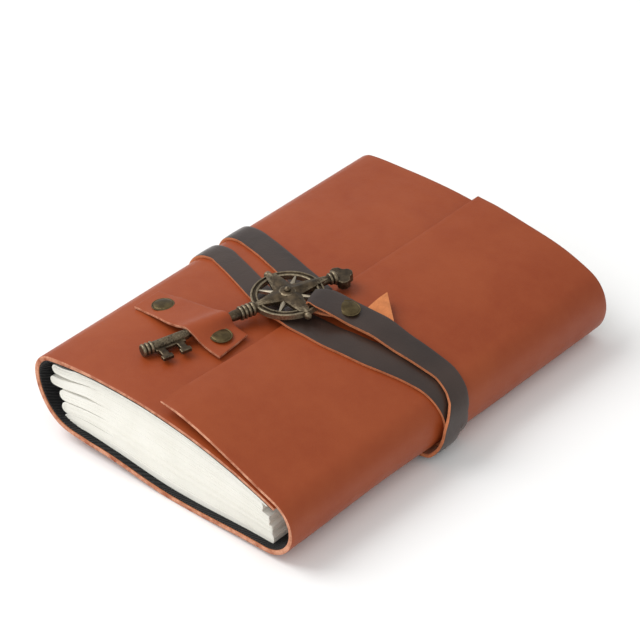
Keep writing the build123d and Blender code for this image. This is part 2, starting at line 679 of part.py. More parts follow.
# Boss on the rose, with a post through it and a bright ball on top
with BuildPart() as rose_boss:
    with BuildSketch(key_plane.offset(-ROSE_THICKNESS / 2)):
        Circle(BOSS_POST / 2)
    extrude(amount=ROSE_THICKNESS)
    with BuildSketch(key_plane.offset(ROSE_THICKNESS / 2)):
        Circle(BOSS_RADIUS)
    extrude(amount=BOSS_HEIGHT)
    with Locations(key_plane.offset(ROSE_THICKNESS / 2 + BOSS_BALL)):
        Sphere(BOSS_BALL)
save(rose_boss.part, "rose_boss")
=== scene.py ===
"""A soft leather diary with a fold-over flap, closed by a wound strap and a compass key.

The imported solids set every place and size. The operators below dress them, one group of pieces each.
"""

import json
import math

import bpy
import numpy as np
from bpy.props import FloatProperty, FloatVectorProperty, IntProperty, PointerProperty
from mathutils import Matrix, Vector


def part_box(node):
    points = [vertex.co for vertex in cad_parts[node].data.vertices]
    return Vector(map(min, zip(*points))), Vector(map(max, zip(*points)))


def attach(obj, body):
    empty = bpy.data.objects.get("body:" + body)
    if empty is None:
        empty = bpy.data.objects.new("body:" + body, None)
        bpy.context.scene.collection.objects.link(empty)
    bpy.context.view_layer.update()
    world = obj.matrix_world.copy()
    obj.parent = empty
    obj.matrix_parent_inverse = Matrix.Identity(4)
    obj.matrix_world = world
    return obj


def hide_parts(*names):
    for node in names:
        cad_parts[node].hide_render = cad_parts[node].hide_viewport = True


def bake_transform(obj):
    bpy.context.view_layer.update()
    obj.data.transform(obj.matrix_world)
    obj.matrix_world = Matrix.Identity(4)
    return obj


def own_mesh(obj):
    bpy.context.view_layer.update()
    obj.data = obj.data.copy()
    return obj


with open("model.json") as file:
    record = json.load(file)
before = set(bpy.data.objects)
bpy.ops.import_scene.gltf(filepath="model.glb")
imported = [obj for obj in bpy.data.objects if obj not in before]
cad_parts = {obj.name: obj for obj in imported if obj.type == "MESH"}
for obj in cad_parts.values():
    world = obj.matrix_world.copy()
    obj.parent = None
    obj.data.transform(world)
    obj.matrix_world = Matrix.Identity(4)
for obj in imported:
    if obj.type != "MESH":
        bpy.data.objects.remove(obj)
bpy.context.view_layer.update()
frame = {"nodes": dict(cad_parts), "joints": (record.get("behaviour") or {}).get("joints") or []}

bl_info = {
    "name": "Leather diary with key lock",
    "version": (1, 0, 0),
    "blender": (4, 5, 0),
    "location": "View3D > Sidebar > Diary",
    "description": "Dresses the solids of a leather diary in hide, cloth, paper and bronze",
    "category": "Object",
}

MM = 0.001
SEED = 7
JOINTS = {joint["name"]: joint for joint in frame["joints"]}
SPINE_HINGE = Vector(JOINTS["front_cover_fold"]["pos_m"])
NOSE_HINGE = Vector(JOINTS["flap_fold"]["pos_m"])
HIDE_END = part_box("back_cover")[1].y
COVER_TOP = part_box("front_cover")[1].z
COVER_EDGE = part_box("front_cover")[1].x
FLAP_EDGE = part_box("flap")[0].x
WHEEL_MIDDLE = sum(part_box("compass_rose"), Vector()) / 2
# Where the two pieces of the hide, and of its lining, meet under the diary
SEAM = 0.0
# Rounding of the strap's and the keeper's cut edges
NARROW_BEVEL = 0.25 * MM
# Turns a lathed piece's axis from X to Z
UPRIGHT = Matrix.Rotation(-math.pi / 2, 4, "Y")
# Most millimetres or degrees from one stop of the strap's route to the next
STOP_STEP = 8
# Stops at the strap's end that go round the wheel's rim and back under the strap
STRAP_LOOP_STOPS = 10


def length(name, description, default):
    """A length, its default in millimetres."""
    return FloatProperty(
        name=name, description=description, default=default * MM, unit="LENGTH", precision=5
    )


def angle(name, description, default):
    """An angle, its default in degrees."""
    return FloatProperty(name=name, description=description, default=math.radians(default), subtype="ANGLE")


def power(name, description, default):
    return FloatProperty(name=name, description=description, default=default, subtype="POWER")


def position(name, description, *default):
    return FloatVectorProperty(
        name=name, description=description, default=default, subtype="TRANSLATION", precision=5
    )


def tone(red, green, blue):
    """A colour written from 0 to 255, as the shaders read it."""
    shares = [value / 255 for value in (red, green, blue)]
    return tuple(s / 12.92 if s <= 0.04045 else ((s + 0.055) / 1.055) ** 2.4 for s in shares)


def colour(name, description, *default):
    return FloatVectorProperty(
        name=name, description=description, default=tone(*default), subtype="COLOR", min=0, max=1
    )


class HideSettings(bpy.types.PropertyGroup):
    """The tan hide that is wrapped round the pages."""

    thickness: length("Thickness", "Thickness of the hide beside the spine and under the diary", 1.95)
    thin: length("Thin", "Thickness of the hide on top and in the fore edge", 1.4)
    cover_reach: length("Cover reach", "How far the front cover reaches beyond its packed edge", 2.0)
    layer: length("Layer", "From the front cover's face to the flap's face", 2.7)
    spine_radius: length("Spine radius", "Outside radius of the upper spine fold", 10)
    crown_inset: length("Crown inset", "From the spine fold to the highest line of the top", 42.5)
    belly_span: length("Belly span", "Width over which the underside rises to the spine", 28)
    near_swell: length("Near swell", "How far the fore edge swells at the tail end", 0.5)
    spine_swell: length("Spine swell", "How far the top swells beside the spine", 0.75)
    far_swell: length("Far swell", "How far the fore edge swells at the head end", 2.1)
    end_lift: length("End lift", "How far the underside's ends rise beside the spine", 3.4)
    fore_lift: length("Fore lift", "How far the fore edge's underside rises at the tail end", 1.1)
    waist_lift: length("Waist lift", "How far the fore edge's underside rises beside the strap", 2.2)
    shoulder: length("Shoulder", "How far the fore edge rises at the head end, beyond its swell", 1.0)
    far_sag: length("Far sag", "How far the covers sag at the head end", 1.1)
    paring: length("Paring", "How much thinner the flap is at its free edge", 0.5)
    corner_pull: length("Corner pull", "How far the flap's tail corner is drawn to the fore edge", 1.0)
    corner_short: length("Corner short", "How far the flap's tail corner stays short of the end", 1.4)
    corner_lift: length("Corner lift", "How far the flap's tail corner stands off the cover", 2.8)
    far_lift: length("Far lift", "How far the flap's head corner stands off the cover", 1.2)
    edge_bevel: length("Edge bevel", "Rounding of the cut edges", 0.45)
    body: colour("Body", "Colour of the grain side", 150, 69, 32)
    deep: colour("Deep", "Colour of the grain side in its darker clouds", 142, 61, 26)
    light: colour("Light", "Colour of the grain side where it is worn pale", 158, 78, 40)
    raw: colour("Raw", "Colour of a cut edge", 216, 154, 122)
    flesh: colour("Flesh", "Colour of the flesh side", 205, 128, 82)


class LiningSettings(bpy.types.PropertyGroup):
    """The black twill glued inside the hide."""

    thickness: length("Thickness", "Thickness of the cloth", 0.6)
    inset: length("Inset", "How far the cloth stops short of the hide's edges", 0.35)
    reach: angle("Reach", "Where it ends in the fore edge, below level", 25)
    rib: length("Rib", "Pitch of the twill ribs", 0.9)
    # Yarn and shade paint the ribs lighter on their crests and darker in their grooves, as painted light and
    # shade.
    yarn: colour("Yarn", "Colour on top of a rib", 40, 39, 39)
    shade: colour("Shade", "Colour between the ribs", 14, 14, 15)


class PageSettings(bpy.types.PropertyGroup):
    """Sections of folded paper, sewn through their folds."""

    sheets: IntProperty(name="Sheets", description="Folded sheets in a section", default=8, min=2, max=12)
    room: length("Room", "Room between the top page and the lining", 0.2)
    near_reach: length("Reach", "How far the paper's ends reach beyond the packed sections", 1.7)
    gap: length("Gap", "Room between two sections", 0.02)
    taper: length("Taper", "A section lies level this far from its fold", 20)
    swell: length("Swell", "A section is at its full thickness this far from its fold", 26)
    unevenness: length("Unevenness", "How far the sheets' cut edges differ", 0.55)
    face: colour("Face", "Colour of the paper", 239, 237, 229)
    shade: colour("Shade", "Colour of the paper's darker fibres", 226, 223, 212)


class StrapSettings(bpy.types.PropertyGroup):
    """The dark strap wound twice round the closed diary."""

    width: length("Width", "Width of the strap", 12.5)
    spine_width: length("Spine width", "Width of the first turn where it is drawn round the spine", 10.4)
    second_width: length("Second width", "Width of the second turn where it is drawn round the spine", 9.2)
    nose_width: length("Nose width", "Width of the last turn where it is drawn round the fore edge", 9.2)
    thickness: length("Thickness", "Thickness of the strap", 1.25)
    seat: length("Seat", "Room between the strap and what it lies on", 0.15)
    ply_gap: length("Ply gap", "Room between two plies", 0.6)
    table_room: length("Table room", "Height of the pressed strap above the table", 0.1)
    tail_lift: length("Tail lift", "Height of the folded end above the flap", 0.8)
    tail_skew: length("Tail skew", "How far the end's cut slants to each side", 4.1)
    loop_width: length("Loop width", "Width of the strap where it goes through the wheel", 8.4)
    loop_thickness: length("Loop thickness", "Thickness of the strap where it goes through the wheel", 0.7)
    loop_turn: angle("Loop turn", "Direction of the loop from the middle of the wheel", 19)
    loop_room: length("Loop room", "Room between the loop and the rim", 0.1)
    camber: length("Camber", "How far the edges sink below the middle", 0.15)
    body: colour("Body", "Colour of the grain side", 60, 45, 38)
    deep: colour("Deep", "Darker colour of the grain side", 44, 32, 27)
    raw: colour("Raw", "Colour of a cut edge", 204, 124, 80)
    flesh: colour("Flesh", "Colour of the flesh side", 214, 132, 80)


class KeeperSettings(bpy.types.PropertyGroup):
    """The riveted strip that holds the key's shaft."""

    thickness: length("Thickness", "Thickness of the strip", 1.1)
    drawn_in: length("Drawn in", "How far its near edge is drawn in at the spine's end", 2.4)
    slant: length("Slant", "How much shorter its far edge is", 1.5)
    seat: length("Seat", "Room under the strip's ends", 0.15)
    shaft_room: length("Shaft room", "Room between the strip and the key's shaft", 0.15)
    softness: length("Softness", "Radius of the strip's bends", 3.0)


class RivetSettings(bpy.types.PropertyGroup):
    """The capped rivets."""

    cap: length("Cap", "Diameter of a cap", 8.6)
    height: length("Height", "Height of a cap", 1.1)
    rim: length("Rim", "Height of a cap's rolled rim", 0.55)
    body: colour("Body", "Colour of the metal", 104, 90, 60)
    deep: colour("Deep", "Colour of the tarnish", 62, 50, 30)


class KeySettings(bpy.types.PropertyGroup):
    """The cast key with its compass wheel."""

    turn: angle("Turn", "The key's turn from the spine direction", 18.5)
    tilt: angle("Tilt", "Rise of the key from its bit to its wheel", 2.9)
    shift: position("Shift", "How far the key has settled from its place", 0.5 * MM, 0.4 * MM, -0.4 * MM)
    wheel_radius: length("Wheel radius", "Outside radius of the wheel", 13.6)
    wheel_thickness: length("Wheel thickness", "Thickness of the rings", 2.4)
    rim_width: length("Rim width", "Width of both rings together", 2.6)
    ring_width: length("Ring width", "Width of one ring", 0.95)
    shaft_radius: length("Shaft radius", "Radius of the shaft under the keeper", 1.4)
    tip: length("Tip", "From the middle of the wheel to the end of the bit", 60)
    bow: length("Bow", "From the middle of the wheel to the bow's collar", 17.8)
    bow_drop: length("Bow drop", "How far the bow hangs below the wheel's plane", 1.4)
    lobe: length("Lobe", "Radius of a lobe of the bow", 2.6)
    body: colour("Body", "Colour of the tarnished metal", 100, 85, 65)
    deep: colour("Deep", "Colour in the hollows", 44, 37, 29)
    # On the key's sharp edges this colour is partly rubbed wear and partly a painted highlight.
    worn: colour("Worn", "Colour on rubbed edges", 168, 154, 128)
    bright: colour("Bright", "Colour of the thin rays", 160, 152, 138)


class StageSettings(bpy.types.PropertyGroup):
    """Floor, light and camera."""

    floor: colour("Floor", "Colour of the floor", 250, 250, 249)
    sky: FloatProperty(name="Sky", description="Strength of the even light from all round", default=0.62)
    key_light: power("Key light", "Power of the large lamp", 11.0)
    fill_light: power("Fill light", "Power of the fill lamp", 3.0)
    camera_place: position("Camera place", "Where the camera stands", 0.58714, -0.67313, 0.66929)
    camera_turn: FloatVectorProperty(
        name="Camera turn",
        description="How the camera is turned",
        default=(math.radians(54.33), 0.0, math.radians(41.26)),
        subtype="EULER",
    )
    lens: FloatProperty(name="Lens", description="Focal length in millimetres", default=168.75)


SETTINGS = {
    "diary_hide": HideSettings,
    "diary_lining": LiningSettings,
    "diary_pages": PageSettings,
    "diary_strap": StrapSettings,
    "diary_keeper": KeeperSettings,
    "diary_rivets": RivetSettings,
    "diary_key": KeySettings,
    "diary_stage": StageSettings,
}


# Materials


class Finish:
    """A node material, with short ways to add and join its nodes."""

    def __init__(self, name):
        self.material = bpy.data.materials.new(name)
        self.material.use_nodes = True
        self.tree = self.material.node_tree
        self.shader = self.tree.nodes["Principled BSDF"]
        self.place = self.node("TexCoord").outputs["Object"]

    def feed(self, socket, value):
        """Set a socket to a value, or link it to another socket."""
        if isinstance(value, bpy.types.NodeSocket):
            self.tree.links.new(value, socket)
        elif socket.type == "RGBA":
            socket.default_value = (*value[:3], 1.0)
        else:
            socket.default_value = value

    def node(self, kind, settings=None, **inputs):
        made = self.tree.nodes.new("ShaderNode" + kind)
        for key, value in (settings or {}).items():
            setattr(made, key, value)
        for key, value in inputs.items():
            self.feed(made.inputs[key.replace("_", " ")], value)
        return made

    def noise(self, size, detail, roughness, distortion=0.0):
        """Noise whose blotches are about this size."""
        made = self.node(
            "TexNoise",
            Vector=self.place,
            Scale=1 / size,
            Detail=detail,
            Roughness=roughness,
            Distortion=distortion,
        )
        return made.outputs["Fac"]

    def cells(self, size):
        """Rounded cells of this size, from 0 in their middles to 1 at their edges."""
        made = self.node("TexVoronoi", {"feature": "SMOOTH_F1"}, Vector=self.place, Scale=1 / size)
        return made.outputs["Distance"]

    def remap(self, value, low, high, to_low=0.0, to_high=1.0):
        made = self.node("MapRange", Value=value, From_Min=low, From_Max=high, To_Min=to_low, To_Max=to_high)
        return made.outputs["Result"]

    def math(self, operation, first, second):
        made = self.node("Math", {"operation": operation})
        self.feed(made.inputs[0], first)
        self.feed(made.inputs[1], second)
        return made.outputs[0]

    def mix(self, share, first, second):
        made = self.node("Mix", {"data_type": "RGBA"})
        for index, value in ((0, share), (6, first), (7, second)):
            self.feed(made.inputs[index], value)
        return made.outputs[2]

    def bump(self, height, depth, under=None):
        made = self.node("Bump", Height=height, Distance=depth)
        if under:
            self.feed(made.inputs["Normal"], under)
        return made.outputs["Normal"]

    def done(self, **inputs):
        for key, value in inputs.items():
            self.feed(self.shader.inputs[key.replace("_", " ")], value)
        return self.material


def darker(shade, share):
    return tuple(share * value for value in shade)


def grain_finish(name, body, deep, light, gloss, crease, shine=0.3):
    """Smooth finished leather: cloudy colour, fine pores and faint creases."""
    finish = Finish(name)
    clouds = finish.remap(finish.noise(34 * MM, 3, 0.5, 0.4), 0.36, 0.66)
    mottling = finish.remap(finish.noise(5 * MM, 5, 0.6), 0.35, 0.75)
    shade = finish.mix(clouds, deep, body)
    shade = finish.mix(finish.math("MULTIPLY", mottling, 0.3), shade, light)
    pores = finish.cells(0.55 * MM)
    creases = finish.noise(crease, 6, 0.62, 0.8)
    normal = finish.bump(creases, 0.12 * MM)
    normal = finish.bump(pores, 0.025 * MM, normal)
    rough = finish.remap(finish.noise(9 * MM, 4, 0.6), 0.3, 0.7, gloss - 0.05, gloss + 0.07)
    return finish.done(Base_Color=shade, Roughness=rough, Normal=normal, Specular_IOR_Level=shine)


def raw_edge_finish(name, raw, core):
    """The fibrous cut edge of leather."""
    finish = Finish(name)
    fibres = finish.noise(0.45 * MM, 4, 0.7)
    bands = finish.noise(3.5 * MM, 3, 0.6)
    shade = finish.mix(finish.remap(bands, 0.27, 0.62), core, raw)
    shade = finish.mix(finish.remap(fibres, 0.45, 0.85, 0.0, 0.5), shade, darker(core, 0.45))
    return finish.done(Base_Color=shade, Roughness=0.85, Normal=finish.bump(fibres, 0.15 * MM))


def flesh_finish(name, flesh, patch):
    """The napped flesh side of leather, in patches of this size."""
    finish = Finish(name)
    nap = finish.noise(0.5 * MM, 5, 0.75)
    patches = finish.noise(patch, 4, 0.6)
    shade = finish.mix(finish.remap(patches, 0.3, 0.7), darker(flesh, 0.72), flesh)
    shade = finish.mix(finish.remap(nap, 0.4, 0.8, 0.0, 0.35), shade, darker(flesh, 0.5))
    return finish.done(
        Base_Color=shade,
        Roughness=0.95,
        Normal=finish.bump(nap, 0.12 * MM),
        Sheen_Weight=0.2,
        Specular_IOR_Level=0.2,
    )


def tan_leather(name, hide, crease):
    """Grain side, cut edge and flesh side of the tan hide."""
    return (
        grain_finish(f"{name}_grain", hide.body, hide.deep, hide.light, 0.42, crease),
        raw_edge_finish(f"{name}_raw_edge", hide.raw, hide.body),
        flesh_finish(f"{name}_flesh", hide.flesh, 8 * MM),
    )


def twill_finish(lining, wide, long):
    """Black twill, its ribs running slantwise across a sheet of this width and length."""
    finish = Finish("lining_twill")
    flat = finish.node("UVMap").outputs["UV"]
    turned = finish.node("Mapping", Vector=flat, Scale=(wide / lining.rib, long / lining.rib, 1.0))
    ribs = finish.node(
        "TexWave",
        {"wave_type": "BANDS", "bands_direction": "DIAGONAL"},
        Vector=turned.outputs["Vector"],
        Scale=0.25,
        Distortion=0.6,
        Detail=2.0,
    ).outputs["Fac"]
    yarn = finish.noise(0.4 * MM, 3, 0.7)
    # Rib crests take the yarn colour and the grooves the darker one: painted light and shade over the weave.
    # The yarn noise adds darker fibres.
    shade = finish.mix(ribs, lining.shade, lining.yarn)
    shade = finish.mix(finish.remap(yarn, 0.4, 0.8, 0.0, 0.5), shade, lining.shade)
    normal = finish.bump(finish.math("ADD", ribs, finish.math("MULTIPLY", yarn, 0.5)), 0.18 * MM)
    return finish.done(
        Base_Color=shade, Roughness=0.92, Normal=normal, Sheen_Weight=0.08, Specular_IOR_Level=0.25
    )


def paper_finish(pages):
    """Soft uncoated paper with faint fibres."""
    finish = Finish("paper_leaf")
    fibres = finish.noise(0.7 * MM, 5, 0.7, 0.5)
    clouds = finish.noise(14 * MM, 4, 0.55)
    shade = finish.mix(finish.remap(clouds, 0.35, 0.7, 0.0, 0.5), pages.face, pages.shade)
    shade = finish.mix(finish.remap(fibres, 0.5, 0.8, 0.0, 0.35), shade, pages.shade)
    return finish.done(
        Base_Color=shade, Roughness=0.9, Normal=finish.bump(fibres, 0.05 * MM), Specular_IOR_Level=0.25
    )


def bronze_finish(name, body, deep, worn, speck):
    """Tarnished cast bronze, dark in its hollows, and bright on its edges from rubbing and from a painted
    highlight.
    """
    finish = Finish(name)
    point = finish.node("NewGeometry").outputs["Pointiness"]
    cast = finish.noise(speck, 5, 0.65)
    clouds = finish.noise(3.2 * MM, 4, 0.6)
    shade = finish.mix(finish.remap(clouds, 0.3, 0.7), deep, body)
    # Sharp edges take the worn colour: partly rubbed wear, partly a painted highlight.
    rubbed = finish.math("ADD", point, finish.remap(cast, 0.3, 0.7, -0.03, 0.03))
    shade = finish.mix(finish.remap(rubbed, 0.52, 0.6), shade, worn)
    shade = finish.mix(finish.remap(rubbed, 0.48, 0.4), shade, deep)
    rough = finish.remap(clouds, 0.3, 0.7, 0.34, 0.52)
    return finish.done(
        Base_Color=shade, Metallic=0.85, Roughness=rough, Normal=finish.bump(cast, 0.06 * MM)
    )


def thread_finish():
    """Waxed linen thread, its twist running slantwise."""
    finish = Finish("waxed_thread")
    turned = finish.node("Mapping", Vector=finish.place, Rotation=(0.6, 0.0, 0.6))
    twist = finish.node(
        "TexWave", {"bands_direction": "Y"}, Vector=turned.outputs["Vector"], Scale=380.0, Distortion=1.0
    ).outputs["Fac"]
    shade = finish.mix(twist, tone(150, 128, 96), tone(206, 188, 154))
    return finish.done(Base_Color=shade, Roughness=0.7, Normal=finish.bump(twist, 0.1 * MM))


# Shared modelling steps


def clear_selection():
    if bpy.context.object and bpy.context.object.mode != "OBJECT":
        bpy.ops.object.mode_set(mode="OBJECT")
    bpy.ops.object.select_all(action="DESELECT")


def take(*pieces):
    """Select only these pieces, the first of them active."""
    clear_selection()
    for piece in pieces:
        piece.select_set(True)
    bpy.context.view_layer.objects.active = pieces[0]
    return pieces[0]


def named(piece, name):
    piece.name = name
    piece.data.name = name
    return piece


def modify(piece, kind, **settings):
    """Add a modifier to a piece and apply it."""
    take(piece)
    modifier = piece.modifiers.new(kind.title(), kind)
    for key, value in settings.items():
        setattr(modifier, key, value)
    bpy.ops.object.modifier_apply(modifier=modifier.name)


def join(name, pieces):
    take(*pieces)
    bpy.ops.object.join()
    return named(bpy.context.object, name)


def paint(piece, *materials):
    for material in materials:
        piece.data.materials.append(material)


def smooth(piece, limit=40.0):
    take(piece)
    bpy.ops.object.shade_smooth_by_angle(angle=math.radians(limit))


def put(piece, place):
    """Move a piece that was made at the origin to its place, and set that in its mesh."""
    piece.matrix_world = place
    take(piece)
    bpy.ops.object.transform_apply(location=True, rotation=True, scale=True)
    return piece


def points_of(piece):
    flat = np.empty(len(piece.data.vertices) * 3)
    piece.data.vertices.foreach_get("co", flat)
    return flat.reshape(-1, 3)


def set_points(piece, points):
    piece.data.vertices.foreach_set("co", np.asarray(points, dtype=float).ravel())
    piece.data.update()


def sheet(name, columns, rows, form):
    """A flat grid shaped by form, which gets each vertex's shares of the two sides."""
    clear_selection()
    bpy.ops.mesh.primitive_grid_add(x_subdivisions=columns, y_subdivisions=rows, size=1.0, calc_uvs=True)
    piece = named(bpy.context.object, name)
    flat = points_of(piece) + 0.5
    set_points(piece, form(flat[:, 0], flat[:, 1]))
    return piece


def vary(piece, shares):
    """Set how thick each column of a sheet will be, as shares of its full thickness."""
    group = piece.vertex_groups.new(name="thickness")
    for index, share in enumerate(np.tile(shares, len(piece.data.vertices) // len(shares))):
        group.add([index], share, "REPLACE")


def solidify(piece, thickness, **settings):
    """Give a sheet its thickness inwards."""
    if piece.vertex_groups:
        settings["vertex_group"] = piece.vertex_groups[0].name
    modify(piece, "SOLIDIFY", thickness=thickness, offset=-1.0, **settings)
    piece.vertex_groups.clear()


def thicken(piece, thickness, bevel, seam=None):
    """Give a sheet its thickness inwards, its rims and back in their own materials, and round its edges."""
    solidify(piece, thickness, material_offset=2, material_offset_rim=1)
    take(piece)
    bpy.ops.object.mode_set(mode="EDIT")
    bpy.ops.mesh.select_mode(type="EDGE")
    bpy.ops.mesh.select_all(action="DESELECT")
    bpy.ops.mesh.edges_select_sharp(sharpness=math.radians(60))
    if seam:
        bpy.ops.object.mode_set(mode="OBJECT")
        places = points_of(piece)
        for edge in piece.data.edges:
            if edge.select and all(seam(places[index]) for index in edge.vertices):
                edge.select = False
        bpy.ops.object.mode_set(mode="EDIT")
    bpy.ops.mesh.bevel(offset=bevel, segments=2, profile=0.6, clamp_overlap=True)
    bpy.ops.object.mode_set(mode="OBJECT")
    smooth(piece)


def lathe(name, profile, steps=40, closed=False):
    """Turn a profile of (along, radius) points round the X axis."""
    clear_selection()
    bpy.ops.mesh.primitive_plane_add(size=MM)
    piece = named(bpy.context.object, name)
    bpy.ops.object.mode_set(mode="EDIT")
    bpy.ops.mesh.select_mode(type="VERT")
    bpy.ops.mesh.select_all(action="SELECT")
    bpy.ops.mesh.merge(type="CENTER")
    start = Vector((profile[0][0], 0.0, profile[0][1]))
    bpy.ops.transform.translate(value=start)
    route = [*profile, profile[0]] if closed else profile
    for first, second in zip(route, route[1:]):
        step = Vector((second[0] - first[0], 0.0, second[1] - first[1]))
        bpy.ops.mesh.extrude_region_move(TRANSFORM_OT_translate={"value": step})
    bpy.ops.mesh.select_all(action="SELECT")
    bpy.ops.mesh.remove_doubles(threshold=1e-6)
    bpy.ops.mesh.spin(steps=steps, angle=math.tau, center=(0, 0, 0), axis=(1, 0, 0))
    bpy.ops.mesh.select_all(action="SELECT")
    bpy.ops.mesh.remove_doubles(threshold=1e-6)
    bpy.ops.mesh.normals_make_consistent(inside=False)
    bpy.ops.object.mode_set(mode="OBJECT")
    return piece


def ease(share):
    """A share, kept from 0 to 1 and eased at both ends."""
    share = np.clip(share, 0.0, 1.0)
    return share * share * (3 - 2 * share)


def rise(value, start, end):
    """From 0 where the value is at start to 1 where it is at end, eased at both."""
    return ease((value - start) / (end - start))


# The diary's outline


class Outline:
    """The closed diary's outline across the spine, and how it settles along the spine."""

    def __init__(self):
        hide = bpy.context.scene.diary_hide
        self.hide = hide
        self.nose = (NOSE_HINGE.x - NOSE_HINGE.z, NOSE_HINGE.z)
        self.nose_radius = NOSE_HINGE.z
        self.spine = (SPINE_HINGE.x + hide.spine_radius, SPINE_HINGE.z)
        self.belly_x = SPINE_HINGE.x + hide.belly_span
        self.crown_x = SPINE_HINGE.x + hide.crown_inset
        flap_top = COVER_TOP + hide.layer
        climb = flap_top - 2 * self.nose_radius
        reach = self.nose[0] - self.crown_x
        self.crown_z = self.nose[1] - (reach**2 - climb**2) / (2 * climb)
        self.flap_crown = flap_top - self.crown_z
        self.cover_crown = self.flap_crown - hide.layer
        self.nose_turn = math.atan2(self.nose[1] - self.crown_z, reach)
        self.spine_turn = math.atan2(self.spine[1] - self.crown_z, self.spine[0] - self.crown_x)

    def height(self, x, radius):
        return self.crown_z + np.sqrt(radius**2 - (x - self.crown_x) ** 2)

    def top(self, x, radius):
        """Points and outward directions on the crowned top."""
        x = np.asarray(x, dtype=float)
        z = self.height(x, radius)
        return np.stack([x, z, (x - self.crown_x) / radius, (z - self.crown_z) / radius], axis=-1)

    def round(self, middle, wide, tall, turn):
        """Points and outward directions on a round or oval fold."""
        turn = np.asarray(turn, dtype=float)
        out = np.stack([np.cos(turn) / wide, np.sin(turn) / tall], axis=-1)
        out /= np.linalg.norm(out, axis=-1, keepdims=True)
        x = middle[0] + wide * np.cos(turn)
        z = middle[1] + tall * np.sin(turn)
        return np.stack([x, z, out[..., 0], out[..., 1]], axis=-1)

    def spine_fold(self, turn):
        return self.round(self.spine, self.hide.spine_radius, self.hide.spine_radius, turn)

    def belly(self, turn):
        return self.round((self.belly_x, self.spine[1]), self.hide.belly_span, self.spine[1], turn)

    def nose_fold(self, turn):
        return self.round(self.nose, self.nose_radius, self.nose_radius, turn)

    def under(self, x):
        x = np.asarray(x, dtype=float)
        return np.stack([x, 0 * x, 0 * x, 0 * x - 1], axis=-1)

    def cover_path(self, under_end, top_end):
        """From the underside round the spine to the front cover's free edge."""
        return np.vstack([
            self.under(np.linspace(under_end, self.belly_x, 14)[:-1]),
            self.belly(np.linspace(1.5 * math.pi, math.pi, 34)[:-1]),
            self.spine_fold(np.linspace(math.pi, self.spine_turn, 15)[:-1]),
            self.top(np.linspace(self.spine[0], top_end, 44), self.cover_crown),
        ])

    def flap_path(self, under_end, top_end):
        """From the underside round the fore edge to the flap's free edge."""
        nose_top = self.nose[0] + self.nose_radius * math.cos(self.nose_turn)
        return np.vstack([
            self.under(np.linspace(under_end, self.nose[0], 20)[:-1]),
            self.nose_fold(np.linspace(-math.pi / 2, self.nose_turn, 34)[:-1]),
            self.top(np.linspace(nose_top, top_end, 30), self.flap_crown),
        ])

    def thickness(self, path):
        """The hide's thickness along a path, which thins towards the top and the fore edge."""
        height = rise(path[:, 1], 0.0, 2 * self.nose_radius)
        away = rise(path[:, 0], self.spine[0], self.spine[0] + 25 * MM)
        return self.hide.thickness + (self.hide.thin - self.hide.thickness) * height * away

    def pared(self, x, z):
        """How much thinner the flap is than the rest of the hide."""
        edge = rise(x, FLAP_EDGE + 10 * MM, FLAP_EDGE)
        return self.hide.paring * edge * (z > 2 * self.nose_radius)

    def settle(self, points):
        """Soft leather's own shape: the top swells and sags, and the underside's ends lift."""
        hide = self.hide
        points = np.array(points, dtype=float)
        x, y, z = points.T
        along = y / HIDE_END
        height = np.clip(z / (2 * self.nose_radius), 0.0, 1.0)
        head = rise(along, 0.3, 1.0)
        tail = rise(-along, 0.3, 1.0)
        ends = rise(np.abs(along), 0.45, 1.0)
        waist_y = -35 * MM
        waist_width = 32 * MM
        waist = np.exp(-(((y - waist_y) / waist_width) ** 2))

        across = rise(x, FLAP_EDGE, self.nose[0])
        swell = hide.near_swell + (hide.far_swell - hide.near_swell) * (along + 1) / 2 + hide.shoulder * head
        spine = rise(x, -20 * MM, -55 * MM)
        middle = rise(x, -60 * MM, -35 * MM) * rise(x, 45 * MM, 20 * MM)
        top = swell * across + hide.spine_swell * spine - hide.far_sag * head * middle

        belly = rise(x, SPINE_HINGE.x + 5 * MM, SPINE_HINGE.x + 24 * MM) * rise(x, 6 * MM, -34 * MM)
        under = hide.end_lift * ends * belly
        under += hide.fore_lift * tail * rise(x, 10 * MM, 45 * MM)
        under += hide.waist_lift * waist * rise(x, 15 * MM, 47 * MM)
        points[:, 2] += top * height + under * (1 - height)
        return points


def along_path(path, share):
    """Points and directions at these shares of a path's steps."""
    steps = np.arange(len(path)) / (len(path) - 1)
    return np.stack([np.interp(share, steps, column) for column in path.T], axis=-1)


def path_length(path):
    return float(np.linalg.norm(np.diff(path[:, :2], axis=0), axis=1).sum())


# Rows along the spine lie close together where the strap presses into the hide
ROWS = np.concatenate([
    np.linspace(-1, -0.3, 28)[:-1],
    np.linspace(-0.3, 0.3, 62)[:-1],
    np.linspace(0.3, 1, 29),
])


def rows_at(share):
    return np.interp(share, np.linspace(0, 1, len(ROWS)), ROWS)


# The strap's route


